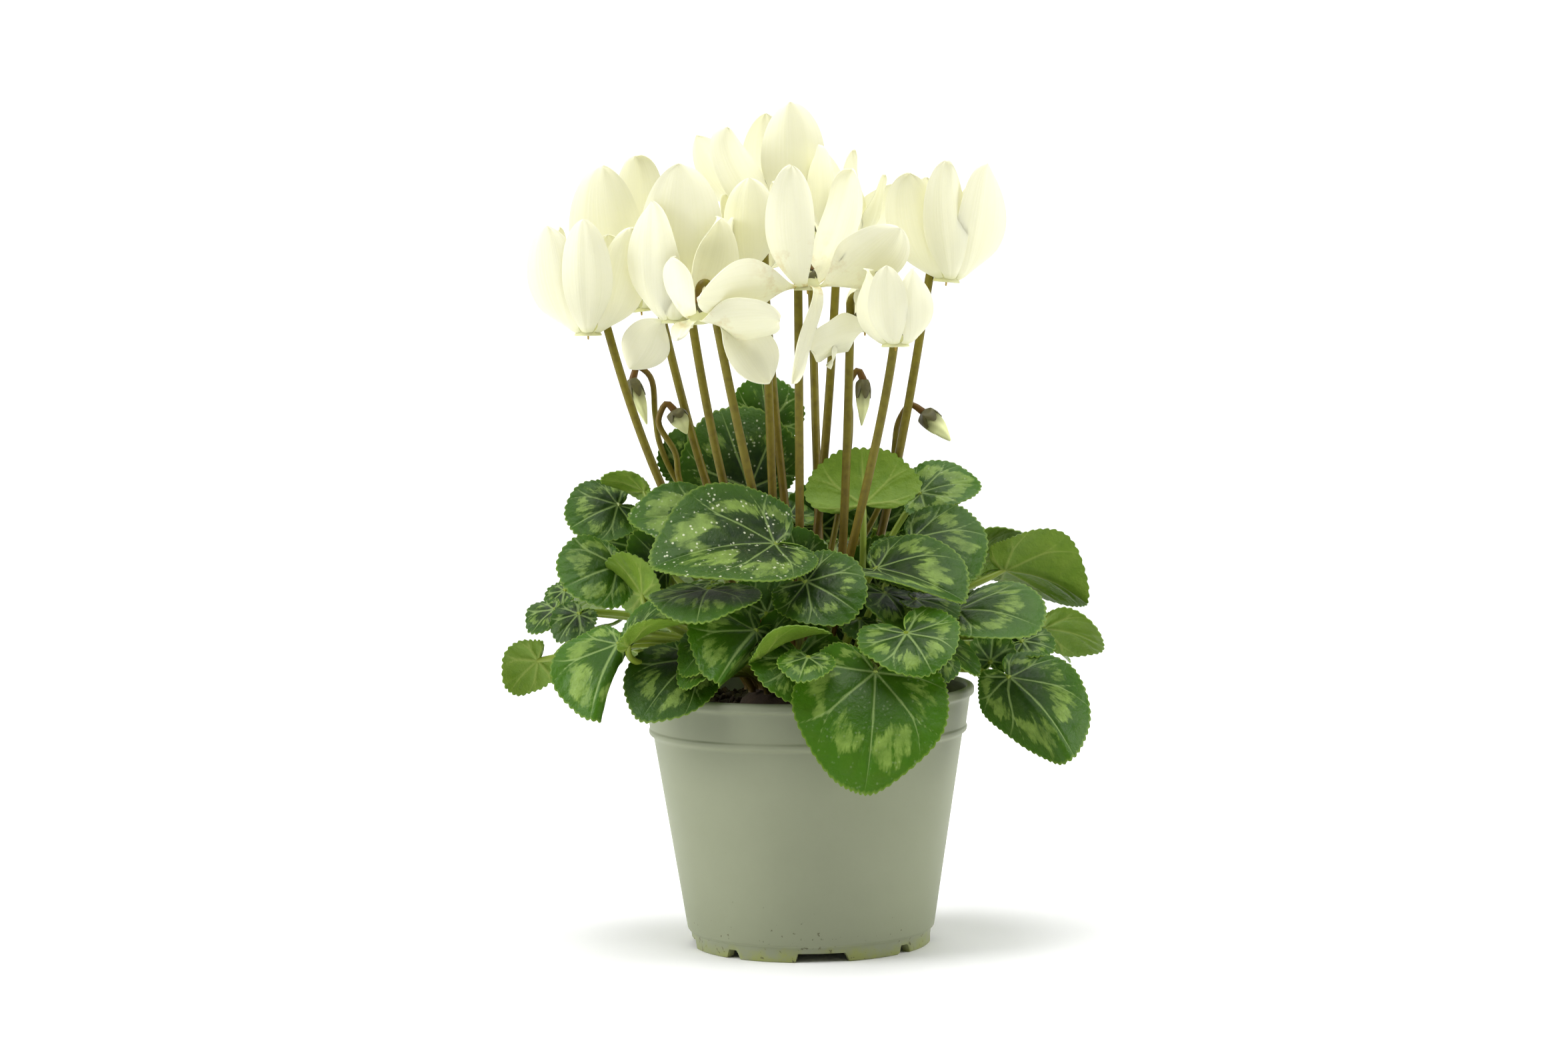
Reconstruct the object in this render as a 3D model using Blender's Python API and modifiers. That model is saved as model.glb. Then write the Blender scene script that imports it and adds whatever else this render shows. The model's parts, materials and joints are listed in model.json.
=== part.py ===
"""Potted cyclamen: white flowers over silver-marked leaves, in a turned plastic nursery pot.

Units are metres and +Z is up. The pot stands on Z = 0 with its axis on Z.
Lengths of the plant are given in millimetres and scaled once, by MM.
Every leaf, flower stalk and bud stem rises from the crown of one flattened tuber.
"""

import math
from collections import namedtuple

import bmesh
import bpy
import numpy as np
from mathutils import Vector

MM = 0.001
GAP = 0.3                    # clearance between pieces that touch

# pot, all radii and heights in millimetres
POT_HEIGHT = 93.0
RIM_RADIUS = 60.0
LIP_HEIGHT = 3.0
COLLAR_RADIUS = 58.4
COLLAR_BOTTOM = 77.0
COLLAR_TAPER = 1.6           # the collar narrows by this much down to its foot
BODY_TOP_RADIUS = 55.4
BODY_FOOT_RADIUS = 44.5
FOOT_RADIUS = 43.3
FOOT_HEIGHT = 6.0
FOOT_RING_WIDTH = 3.4
WALL = 1.4
FLOOR_UNDERSIDE = 4.6
FLOOR_THICKNESS = 1.8
POT_SEGMENTS = 32
NOTCH_WIDTHS = (18.5, 5.0)   # broad and narrow notches of the foot ring take turns
NOTCH_COUNT = 8
NOTCH_BEARING = -85.3        # of the first broad notch, in degrees
NOTCH_HEIGHT = 3.2
DRAIN_COUNT = 5
DRAIN_RADIUS = 5.0
DRAIN_CIRCLE = 28.0

# soil and tuber
SOIL_TOP = 85.5
SOIL_DOME = 1.0              # the surface rises this much towards the tuber
TUBER_RADIUS = 25.0
TUBER_HALF_HEIGHT = 8.5
TUBER_CENTRE = 86.5           # its widest level, where the soil surface meets it

# blades, stems and petals
BLADE_THICKNESS = 0.5
BLADE_GRID = (16, 2)         # steps round the joint and out to the edge
PETAL_GRID = (2, 4)          # steps across and along a petal
SHARP_ANGLE = 40             # faces meeting at less than this are shaded as one, in degrees
LOBE_ROUNDING = 0.6          # the lobes round off over this angle, in radians
PETIOLE_RADIUS = 1.2
STALK_RADIUS = 1.55
BUD_STEM_RADIUS = 1.1
PETAL_THICKNESS = 0.5
TUBE_LENGTH = 7.0            # corolla tube, from its mouth to the calyx
TUBE_MOUTH_RADIUS = 3.8
TUBE_TOP_RADIUS = 2.8
CALYX_RADIUS = 3.0
HOOK_RADIUS = 2.8            # the stalk turns over in this half circle
PETAL_ROOT_HALF = 1.3
PETAL_BREADTH = 0.17         # half breadth against length
PETAL_WIDEST = 0.62          # share of the length at which a petal is widest
PETAL_STEP = 60              # degrees between the roots of petals, the stalk passing in the sixth place
PETAL_FLARE = 7.5            # the petals leave the mouth outwards by this much before they turn up
PETAL_PLAIN = (15, 1.0)      # a petal's turn in degrees and its relative breadth where the table gives none

STEM_FOOT = np.array((0.0, 0.0, 1.5))   # every stem leaves the crown straight up for this step

# the rings on the crown that stems start from: distance from the axis
INNER_RING, STALK_RING, UPPER_RING, LOWER_RING = 4.5, 10.0, 16.0, 21.5

Leaf = namedtuple("Leaf", "joint tip face width back left right taper ring bow notch",
                  defaults=(1.0, 0.45, 0, 0, 0.2, UPPER_RING, (0, 0, 0), 0.2))
# joint: where the petiole meets the blade; tip: the blade's point; face: the way its upper side looks;
# width: breadth against that of a round blade; back: how far the lobes reach behind the joint, as a
# share of its distance to the tip; left, right: folding of each half about the midrib in degrees;
# taper: how much narrower than an oval it is towards the tip;
# bow: sideways push on the middle of the petiole; notch: half angle in radians of the gap that the
# lobes leave behind the joint
LEAVES = {
    "leaf_01": Leaf((-20, 24, 163), (-31, 32, 192), (-0.1, -0.9, 0.4), 1.1, 0.3),
    "leaf_02": Leaf((-13, 44, 185), (-15, 50, 204), (0.1, -0.9, 0.4)),
    "leaf_03": Leaf((-30, -25, 154), (-62, -29, 157), (-0.1, -0.7, 0.7), 0.75, 0.2),
    "leaf_04": Leaf((-11, -38, 147), (-54, -56, 140), (0.0, -0.75, 0.65), 0.86, 0.34, left=8, right=22,
                    taper=0.35, notch=0.35),
    "leaf_05": Leaf((-68, 18, 158), (-86, 12, 150), (-0.2, -0.8, 0.5)),
    "leaf_06": Leaf((-54, 5, 132), (-60, 9, 158), (0.8, -0.4, 0.3), 0.7, right=60, ring=LOWER_RING),
    "leaf_07": Leaf((-67, -12, 138), (-87, -22, 132), (-0.45, -0.85, 0.25), 1.2, 0.2, bow=(0, -4, 0)),
    "leaf_08": Leaf((-96, -14, 105), (-107, -18, 95), (0.35, 0.6, 0.7), 1.1, ring=LOWER_RING),
    "leaf_09": Leaf((-66, -41, 113), (-76, -53, 88), (-0.45, -0.8, 0.4), 1.15, 0.3, right=-155,
                    ring=LOWER_RING),
    "leaf_10": Leaf((-40, -38, 107), (-59, -52, 87), (-0.2, -0.8, 0.6), 0.95, 0.2, ring=LOWER_RING),
    "leaf_11": Leaf((-18, -52, 118), (-33, -64, 102), (-0.15, -0.8, 0.6), 1.2, right=-110, ring=LOWER_RING),
    "leaf_12": Leaf((-34, -46, 132), (-37, -72, 122), (-0.05, -0.35, 0.95), 1.1, 0.3),
    "leaf_13": Leaf((23, -63, 104), (16, -77, 63), (0.0, -0.95, 0.3), 1.0, 0.3, taper=0.5, ring=LOWER_RING,
                    notch=0.45),
    "leaf_14": Leaf((34, -60, 117), (42, -73, 104), (0.05, -0.75, 0.65), 1.05, 0.75, ring=LOWER_RING),
    "leaf_15": Leaf((0, -45, 134), (19, -55, 124), (0.0, -0.8, 0.55), 0.95, 0.5),
    "leaf_16": Leaf((25, -27, 137), (56, -44, 126), (0.1, -0.8, 0.6), 0.85, 0.25, left=45),
    "leaf_17": Leaf((38, -9, 146), (59, -24, 131), (0.1, -0.8, 0.6), 1.1, 0.4),
    "leaf_18": Leaf((53, -30, 122), (83, -44, 118), (0.15, -0.6, 0.8), 0.95, 0.15, ring=LOWER_RING),
    "leaf_19": Leaf((85, -6, 113), (106, -12, 106), (0.0, 0.75, 0.65), 1.0, 0.1, ring=LOWER_RING),
    "leaf_20": Leaf((72, 6, 133), (101, 0, 121), (0.1, 0.45, 0.85), 0.9, 0.3, left=60),
    "leaf_21": Leaf((21, -6, 158), (20, 3, 179), (0.0, 0.8, 0.6), 1.0, 1.0, taper=0.0, bow=(0, 12, 0),
                    notch=1.25),
    "leaf_22": Leaf((43, 30, 160), (65, 32, 163), (0.1, -0.6, 0.8), 0.9),
    "leaf_23": Leaf((61, 18, 135), (83, 16, 143), (0.0, 0.6, 0.8), 0.9),
    "leaf_24": Leaf((71, -31, 98), (92, -43, 71), (0.45, -0.75, 0.45), 1.0, 0.3, left=-90, ring=LOWER_RING),
    "leaf_25": Leaf((-62, 40, 126), (-88, 54, 114), (-0.5, 0.5, 0.7), 0.95, ring=LOWER_RING),
    "leaf_26": Leaf((-30, 52, 132), (-42, 76, 118), (-0.2, 0.7, 0.7), ring=LOWER_RING),
    "leaf_27": Leaf((10, 50, 144), (12, 76, 134), (0.0, 0.7, 0.7)),
    "leaf_28": Leaf((38, 48, 132), (54, 74, 118), (0.4, 0.6, 0.7), ring=LOWER_RING),
    "leaf_29": Leaf((64, 42, 118), (88, 56, 104), (0.6, 0.4, 0.7), 0.9, ring=LOWER_RING),
}

Flower = namedtuple("Flower", "mouth top hook tips ring bow", defaults=(STALK_RING, (0, 0, 0)))
# mouth: centre of the open end, which looks down; top: the way the corolla tube points from there;
# hook: bearing in degrees of the side on which the stalk passes it; tips: the five petal tips, each with
# the angle in degrees by which its face is turned about its middle line and its breadth against that
# of a plain petal, where they aren't 15 and 1
FLOWERS = {
    "01": Flower((-76, -10, 220), (0.0, 0.0, 1.0), 30,
                 ((-89, -20, 259, 40, 1.1), (-76, -26, 261, 0, 0.85), (-60, -14, 258, -35), (-87, 8, 259),
                  (-69, 8, 256))),
    "02": Flower((-58, 18, 228), (-0.1, 0.0, 1.0), 0,
                 ((-71, 15, 281, 30, 1.1), (-60, 34, 285), (-46, 34, 268), (-47, 8, 262),
                  (-77, 32, 262))),
    "03": Flower((-45, -14, 224), (0.0, 0.0, 1.0), -30,
                 ((-52, -28, 267, 30), (-42, -24, 280, 0, 1.2), (-24, -10, 261, -40, 1.2), (-45, 8, 268),
                  (-62, -1, 208, 60, 1.4))),
    "04": Flower((-35, -34, 225), (-0.1, -0.3, 1.0), 45,
                 ((-45, -46, 247, 40, 2.0), (-43, -48, 219, 0, 0.8), (-8, -51, 225, -60, 1.4),
                  (-12, -38, 203, 30, 1.3), (-29, -28, 261)), bow=(4, 4, 0)),
    "05": Flower((-17, 2, 241), (0.0, 0.0, 1.0), -45,
                 ((-18, -9, 275, 0, 1.2), (-9, 4, 274), (-30, 5, 257), (-5, 14, 258), (-27, 20, 270))),
    "06": Flower((-10, 24, 261), (0.0, 0.0, 1.0), 150,
                 ((-3, 20, 303, -55, 1.2), (-26, 14, 294, 40, 1.1), (-37, 32, 292), (-12, 42, 300),
                  (7, 40, 288))),
    "07": Flower((2, -34, 235), (0.0, 0.0, 1.0), 125,
                 ((-3, -44, 278, 20, 0.8), (18, -32, 277, -30, 1.1), (34, -42, 256, -60, 1.5),
                  (-36, -53, 233, 60, 1.2), (-4, -48, 203, 0, 0.1)), INNER_RING),
    "08": Flower((32, -44, 215), (0.0, 0.0, 1.0), 80,
                 ((23, -46, 242, 25, 0.9), (29, -56, 243, 15, 0.9), (38, -53, 242, -25, 0.9),
                  (26, -35, 241), (38, -35, 240)),
                 bow=(-8, 4, 0)),
    "09": Flower((52, 4, 237), (0.1, 0.0, 1.0), 165,
                 ((67, -3, 279, -40, 1.1), (52, -9, 280, 0, 0.75), (39, -5, 276, 35, 1.1), (46, 20, 275),
                  (65, 19, 273)), bow=(0, 6, 0)),
    "10": Flower((16, 20, 252), (0.0, 0.0, 1.0), -110,
                 ((7, 12, 287, 30, 1.1), (19, 12, 285), (30, 14, 276, -30), (36, 32, 273), (11, 40, 279)),
                 INNER_RING),
    "11": Flower((22, -22, 220), (0.0, 0.0, 1.0), 150,
                 ((3, -37, 214, 90, 1.8), (9, -30, 208, 15, 0.7), (21, -32, 235), (34, -12, 240),
                  (22, -4, 238))),
    "12": Flower((3, 56, 252), (0.0, 0.1, 1.0), -80,
                 ((-8, 50, 287), (11, 66, 286), (-20, 62, 268), (18, 50, 272), (1, 75, 280))),
}

Bud = namedtuple("Bud", "route swell ring bow", defaults=(INNER_RING, (0, 0, 0)))
# route: the stem's points after it leaves the crown, the last two being the bud's base and its tip;
# swell: the bud's greatest radius
BUDS = {
    "bud_01": Bud(((33, 13, 178), (35, 13, 188), (39, 12, 193), (44, 11, 190), (53, 8, 180)), 3.6),
    "bud_02": Bud(((-46, 8, 176), (-52, 8, 190), (-49, 8, 195), (-46, 8, 192), (-42, 7, 184)), 3.4,
                  UPPER_RING),
    "bud_03": Bud(((17, 6, 190), (17, 6, 202), (20, 6, 206), (22, 6, 202), (21, 6, 186)), 2.6),
    "bud_04": Bud(((-54, 28, 190), (-57, 28, 206), (-60, 27, 208), (-62, 26, 203), (-57, 24, 187)), 2.8,
                  UPPER_RING, (0, 10, 0)),
}


def clear_scene():
    """Remove every object that the file opens with."""
    for item in list(bpy.data.objects):
        bpy.data.objects.remove(item, do_unlink=True)


def new_collection(name):
    """A collection in the scene."""
    made = bpy.data.collections.new(name)
    bpy.context.scene.collection.children.link(made)
    return made


def new_material(name, colour, roughness):
    """A Principled material, colour as linear RGB."""
    made = bpy.data.materials.new(name)
    made.use_nodes = True
    shader = made.node_tree.nodes["Principled BSDF"]
    shader.inputs["Base Color"].default_value = (*colour, 1.0)
    shader.inputs["Roughness"].default_value = roughness
    shader.inputs["Metallic"].default_value = 0.0
    return made


def add_object(name, data, collection, material=None):
    """Put object data into a collection."""
    made = bpy.data.objects.new(name, data)
    collection.objects.link(made)
    if material is not None:
        data.materials.append(material)
    return made


def add_turned(name, profile, collection, material, segments):
    """A solid of revolution about Z from (radius, height) points in millimetres."""
    mesh = bpy.data.meshes.new(name)
    count = len(profile)
    points = [(radius * MM, 0.0, height * MM) for radius, height in profile]
    closed = profile[0][0] > 0.0
    edges = [(i, i + 1) for i in range(count - 1)]
    if closed:
        edges.append((count - 1, 0))
    mesh.from_pydata(points, edges, [])
    made = add_object(name, mesh, collection, material)
    screw = made.modifiers.new("turn", "SCREW")
    screw.steps = screw.render_steps = segments
    screw.use_merge_vertices = True
    screw.merge_threshold = 0.00001
    return made


def add_tube(name, points, radii, collection, material, sides=6):
    """A round stem along points in millimetres, with a radius at each point."""
    curve = bpy.data.curves.new(name, "CURVE")
    curve.dimensions = "3D"
    curve.bevel_depth = MM
    curve.bevel_resolution = (sides - 4) // 2
    curve.use_fill_caps = True
    spline = curve.splines.new("POLY")
    spline.points.add(len(points) - 1)
    for point, place, radius in zip(spline.points, points, radii):
        point.co = (*(Vector(place) * MM), 1.0)
        point.radius = radius
    return add_object(name, curve, collection, material)


def as_mesh(source, collection, material, merge=0.000002):
    """Replace a curve, or an object with modifiers, by its evaluated mesh with merged points."""
    name = source.name
    evaluated = source.evaluated_get(bpy.context.evaluated_depsgraph_get())
    mesh = bpy.data.meshes.new_from_object(evaluated)
    place = source.matrix_world.copy()
    bpy.data.objects.remove(source, do_unlink=True)
    work = bmesh.new()
    work.from_mesh(mesh)
    bmesh.ops.remove_doubles(work, verts=work.verts, dist=merge)
    bmesh.ops.dissolve_degenerate(work, edges=work.edges, dist=merge)
    bmesh.ops.recalc_face_normals(work, faces=work.faces)
    work.to_mesh(mesh)
    work.free()
    mesh.materials.clear()
    made = add_object(name, mesh, collection, material)
    made.matrix_world = place
    return made


def joined(base, others, collection, material):
    """One solid from a base and the solids that meet it.

    The exact solver leaves open edges where several thin sheets cross near a root, so the
    manifold solver joins these closed solids.
    """
    for other in others:
        union = base.modifiers.new("join", "BOOLEAN")
        union.operation = "UNION"
        union.solver = "MANIFOLD"
        union.object = other
    bpy.context.view_layer.update()
    made = as_mesh(base, collection, material, 0.0000001)
    for other in others:
        bpy.data.objects.remove(other, do_unlink=True)
    return made


def add_sheet(name, surface, columns, rows, thickness, collection, material):
    """A thin sheet: a grid bent by surface(u, v), u and v from 0 to 1, then given its thickness."""
    work = bmesh.new()
    bmesh.ops.create_grid(work, x_segments=columns, y_segments=rows, size=0.5)
    work.verts.ensure_lookup_table()
    flat = np.array([vert.co[:2] for vert in work.verts]) + 0.5
    bent = surface(flat[:, 0], flat[:, 1]) * MM
    for vert, place in zip(work.verts, bent):
        vert.co = place
    bmesh.ops.remove_doubles(work, verts=work.verts, dist=0.00001)
    mesh = bpy.data.meshes.new(name)
    work.to_mesh(mesh)
    work.free()
    made = add_object(name, mesh, collection, material)
    shell = made.modifiers.new("thickness", "SOLIDIFY")
    shell.thickness = thickness * MM
    shell.offset = 0.0
    bpy.context.view_layer.update()
    return as_mesh(made, collection, material)


def unit(vector):
    """The vector at length one."""
    vector = np.asarray(vector, dtype=float)
    return vector / np.linalg.norm(vector)


def bezier(first, second, third, fourth, count):
    """Points of a cubic Bezier curve."""
    step = np.linspace(0.0, 1.0, count)[:, None]
    rest = 1.0 - step
    return (rest**3 * first + 3 * rest**2 * step * second
            + 3 * rest * step**2 * third + step**3 * fourth)


def crown_height(radius):
    """Height that clears the tuber's top by the gap, under a stem at a distance from the axis."""
    inner = radius - PETIOLE_RADIUS
    return TUBER_CENTRE + TUBER_HALF_HEIGHT * math.sqrt(1.0 - (inner / TUBER_RADIUS) ** 2) + GAP


def crown_places(targets):
    """Evenly spaced starting points on the crown's rings, in the order of the targets' bearings.

    targets maps a name to (ring radius, x, y) of where its stem goes. Each ring is turned so that
    its places point towards the targets as nearly as they can, and the stems don't cross.
    """
    places = {}
    for ring in sorted({ring for ring, _, _ in targets.values()}):
        bearings = sorted((math.atan2(y, x), name) for name, (own, x, y) in targets.items() if own == ring)
        count = len(bearings)
        steps = [2 * math.pi * index / count for index in range(count)]
        turns = [bearing - step for (bearing, _), step in zip(bearings, steps)]
        turn = math.atan2(sum(map(math.sin, turns)), sum(map(math.cos, turns)))
        for (_, name), step in zip(bearings, steps):
            angle = step + turn
            places[name] = np.array((ring * math.cos(angle), ring * math.sin(angle), crown_height(ring)))
    return places


def leaf_frame(leaf):
    """Length, and the directions along the midrib, across the blade and out of its upper side."""
    joint, tip = np.array(leaf.joint, float), np.array(leaf.tip, float)
    length = np.linalg.norm(tip - joint)
    along = (tip - joint) / length
    face = np.array(leaf.face, float)
    out = unit(face - along * face.dot(along))
    return length, along, np.cross(out, along), out


def blade_surface(leaf):
    """The heart-shaped blade as a function of bearing and distance, both from 0 to 1.

    The outline is a circle seen from a point inside it, the joint, drawn in towards the joint at the
    back to make the notch and out at the front to make the tip. Each half folds about the midrib
    on a small hinge radius, and the whole blade arches a little between joint and tip.
    """
    length, along, across, out = leaf_frame(leaf)
    joint = np.array(leaf.joint, float)
    offset, radius = 0.5 * (1 - leaf.back) * length, 0.5 * (1 + leaf.back) * length
    hinge = 0.09 * length

    def place(u, v):
        bearing = (2 * u - 1) * (math.pi - leaf.notch)
        edge = offset * np.cos(bearing) + np.sqrt(radius**2 - (offset * np.sin(bearing)) ** 2)
        edge *= 0.12 + 0.88 * np.clip((math.pi - leaf.notch - np.abs(bearing)) / LOBE_ROUNDING, 0, 1) ** 0.55
        ahead = v * edge * np.cos(bearing)
        aside = v * edge * np.sin(bearing) * leaf.width
        aside *= 1 - leaf.taper * np.clip(ahead / length, 0, 1) ** 2
        fold = np.radians(np.where(aside < 0, leaf.left, leaf.right))
        sense = np.where(fold < 0, -1.0, 1.0)
        fold = np.abs(fold)
        turn = np.minimum(np.abs(aside) / hinge, fold)
        beyond = np.maximum(np.abs(aside) - hinge * fold, 0.0)
        spread = np.sign(aside) * (hinge * np.sin(turn) + beyond * np.cos(fold))
        rise = sense * (hinge * (1 - np.cos(turn)) + beyond * np.sin(fold))
        share = ahead / length
        rise = rise + 0.10 * length * np.where(share > 0, 4 * share * (1 - share), 2.0 * share)
        return (joint + ahead[:, None] * along + spread[:, None] * across + rise[:, None] * out)

    return place


def petiole_route(leaf, start, count=7):
    """The petiole: up and outward from the crown, then into the blade from behind and below."""
    _, along, _, out = leaf_frame(leaf)
    joint = np.array(leaf.joint, float)
    reach = np.linalg.norm(joint - start)
    outward = unit((start[0], start[1], 0.0))
    leave = start + reach * (0.34 * np.array((0.0, 0.0, 1.0)) + 0.16 * outward) + np.array(leaf.bow)
    arrive = joint - 0.30 * reach * unit(0.6 * along + 0.8 * out) + np.array(leaf.bow)
    foot = start + STEM_FOOT
    return [start, *bezier(foot, leave, arrive, joint, count - 1)]


def stalk_route(flower, start, count=8):
    """The flower stalk: up beside the corolla, over in a half circle and down into the calyx."""
    mouth, up = np.array(flower.mouth, float), unit(flower.top)
    bearing = math.radians(flower.hook)
    side = np.array((math.cos(bearing), math.sin(bearing), 0.0))
    side = unit(side - up * side.dot(up))
    calyx = mouth + up * (TUBE_LENGTH + GAP)
    centre = calyx + up * 3.0 + side * HOOK_RADIUS
    shoulder = centre + side * HOOK_RADIUS
    chord = shoulder - start
    height = np.linalg.norm(chord)
    outward = np.array((chord[0], chord[1], 0.0)) * 0.25
    rise = [start, *bezier(start + STEM_FOOT, start + 0.33 * chord + outward + np.array(flower.bow),
                           shoulder - 0.3 * (0.55 * chord + 0.45 * height * up), shoulder, count - 1)]
    turn = [centre + HOOK_RADIUS * (side * math.cos(angle) + up * math.sin(angle))
            for angle in np.radians((50, 100, 150))]
    end = [calyx + up * 1.6, calyx]
    radii = [STALK_RADIUS] * (count - 2) + [1.4, 1.2, 1.2, 1.2, 1.2, 1.9, CALYX_RADIUS]
    return [*rise, *turn, *end], radii


def petal_bearings(flower):
    """Bearings of the five petals' roots, spaced so that the stalk passes between two of them."""
    def turned(tip):
        bearing = math.degrees(math.atan2(tip[1] - flower.mouth[1], tip[0] - flower.mouth[0]))
        return (bearing - flower.hook) % 360

    order = sorted(flower.tips, key=turned)
    return [(tip, math.radians(flower.hook + PETAL_STEP * (index + 1))) for index, tip in enumerate(order)]


def petal_surface(flower, tip, bearing):
    """One petal as a function of breadth and length, both from 0 to 1.

    Its middle line leaves the mouth outwards at the root's bearing and bends back to the tip; its
    breadth swells to the middle and rounds off at the tip; its edges bend in towards the tube, and its
    face turns about the middle line over the first 40 % of the length.
    """
    *tip, turn, breadth = (*tip, *PETAL_PLAIN[len(tip) - 3:])
    mouth, up, tip = np.array(flower.mouth, float), unit(flower.top), np.array(tip, float)
    away = np.array((math.cos(bearing), math.sin(bearing), 0.0))
    away = unit(away - up * away.dot(up))
    root = mouth + away * (TUBE_MOUTH_RADIUS - 1.2) + up * 1.6
    span = tip - root
    length = np.linalg.norm(span)
    climb = max(up.dot(span) / length, 0.0)
    second = root + away * PETAL_FLARE + up * length * 0.04 * climb
    third = tip - unit(up * climb + span / length) * length * 0.35
    tangent_side = np.cross(up, away)
    steps = np.linspace(0, 1, 33)
    line = bezier(root, second, third, tip, len(steps))
    heading = np.gradient(line, axis=0)

    def place(u, v):
        middle = np.stack([np.interp(v, steps, line[:, axis]) for axis in range(3)], 1)
        ahead = np.stack([np.interp(v, steps, heading[:, axis]) for axis in range(3)], 1)
        ahead /= np.linalg.norm(ahead, axis=1)[:, None]
        side = tangent_side - ahead * (ahead @ tangent_side)[:, None]
        side /= np.linalg.norm(side, axis=1)[:, None]
        normal = np.cross(ahead, side)
        angle = (math.radians(turn) * np.minimum(v / 0.4, 1.0))[:, None]
        turned_side = side * np.cos(angle) + normal * np.sin(angle)
        normal = normal * np.cos(angle) - side * np.sin(angle)
        swell = np.sin(0.5 * math.pi * np.minimum(v / PETAL_WIDEST, 1.0)) ** 2
        close = np.maximum(v - PETAL_WIDEST, 0.0) / (1.0 - PETAL_WIDEST)
        half = (PETAL_ROOT_HALF + length * PETAL_BREADTH * breadth * swell) * np.sqrt(1.04 - close**2)
        across = 2 * u - 1
        return middle + (half * across)[:, None] * turned_side + (0.25 * half * across**2)[:, None] * normal

    return place


def add_pot(collection, material, cutters):
    """The pot: lip, stepped collar, tapered wall, raised floor and a notched foot ring."""
    inner_top = BODY_TOP_RADIUS - WALL
    inner_foot = BODY_FOOT_RADIUS - WALL
    floor_top = FLOOR_UNDERSIDE + FLOOR_THICKNESS
    profile = [
        (RIM_RADIUS - 1.0, POT_HEIGHT), (RIM_RADIUS, POT_HEIGHT - 0.8), (RIM_RADIUS, POT_HEIGHT - LIP_HEIGHT),
        (COLLAR_RADIUS, POT_HEIGHT - LIP_HEIGHT - 0.8), (COLLAR_RADIUS - COLLAR_TAPER, COLLAR_BOTTOM),
        (BODY_TOP_RADIUS, COLLAR_BOTTOM - 2.0), (BODY_FOOT_RADIUS, FOOT_HEIGHT),
        (FOOT_RADIUS, FOOT_HEIGHT - 0.8),
        (FOOT_RADIUS, 0.0), (FOOT_RADIUS - FOOT_RING_WIDTH, 0.0),
        (FOOT_RADIUS - FOOT_RING_WIDTH, FLOOR_UNDERSIDE),
        (0.0, FLOOR_UNDERSIDE), (0.0, floor_top), (inner_foot, floor_top),
        (inner_top, COLLAR_BOTTOM - 2.0), (COLLAR_RADIUS - COLLAR_TAPER - WALL, COLLAR_BOTTOM + 1.0),
        (COLLAR_RADIUS - WALL, POT_HEIGHT - 1.0), (COLLAR_RADIUS - WALL + 0.6, POT_HEIGHT),
    ]
    pot = add_turned("pot", profile, collection, material, POT_SEGMENTS)
    for index in range(NOTCH_COUNT):
        angle = 2 * math.pi * index / NOTCH_COUNT + math.radians(NOTCH_BEARING)
        bpy.ops.mesh.primitive_cube_add(size=1.0)
        notch = bpy.context.object
        notch.name = f"notch_{index + 1}"
        notch.scale = (8 * MM, NOTCH_WIDTHS[index % 2] * MM, 2 * NOTCH_HEIGHT * MM)
        reach = FOOT_RADIUS - FOOT_RING_WIDTH / 2
        notch.location = (reach * math.cos(angle) * MM, reach * math.sin(angle) * MM, 0.0)
        notch.rotation_euler = (0.0, 0.0, angle)
        cut(pot, notch, cutters)
    for index in range(DRAIN_COUNT):
        angle = 2 * math.pi * (index + 0.5) / DRAIN_COUNT - math.pi / 2
        bpy.ops.mesh.primitive_cylinder_add(vertices=12, radius=DRAIN_RADIUS * MM, depth=8 * MM)
        drain = bpy.context.object
        drain.name = f"drain_{index + 1}"
        drain.location = (DRAIN_CIRCLE * math.cos(angle) * MM, DRAIN_CIRCLE * math.sin(angle) * MM,
                          (FLOOR_UNDERSIDE + FLOOR_THICKNESS / 2) * MM)
        cut(pot, drain, cutters)
    return pot


def cut(target, cutter, cutters):
    """Take the cutter's shape out of the target, and keep it as a hidden guide."""
    for holder in list(cutter.users_collection):
        holder.objects.unlink(cutter)
    cutters.objects.link(cutter)
    cutter.hide_render = True
    cutter.display_type = "WIRE"
    boolean = target.modifiers.new(cutter.name, "BOOLEAN")
    boolean.operation = "DIFFERENCE"
    boolean.solver = "EXACT"
    boolean.object = cutter


def add_soil(collection, material):
    """The soil: fills the pot to below its lip, with a socket for the tuber."""
    socket = TUBER_RADIUS + GAP
    depth = TUBER_HALF_HEIGHT + GAP
    bowl = [(socket * math.cos(angle), TUBER_CENTRE + depth * math.sin(angle))
            for angle in np.linspace(-math.pi / 2, 0.0, 5)]
    bowl[0] = (0.0, TUBER_CENTRE - depth)
    floor = FLOOR_UNDERSIDE + FLOOR_THICKNESS + GAP
    profile = [
        *bowl, (40.0, SOIL_TOP + 0.5 * SOIL_DOME), (COLLAR_RADIUS - WALL - 0.8 - GAP, SOIL_TOP),
        (COLLAR_RADIUS - COLLAR_TAPER - WALL - 0.1 - GAP, COLLAR_BOTTOM + 1.0),
        (BODY_TOP_RADIUS - WALL - GAP, COLLAR_BOTTOM - 2.2), (BODY_FOOT_RADIUS - WALL - GAP, floor),
        (0.0, floor),
    ]
    return add_turned("potting_soil", profile, collection, material, POT_SEGMENTS)


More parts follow.
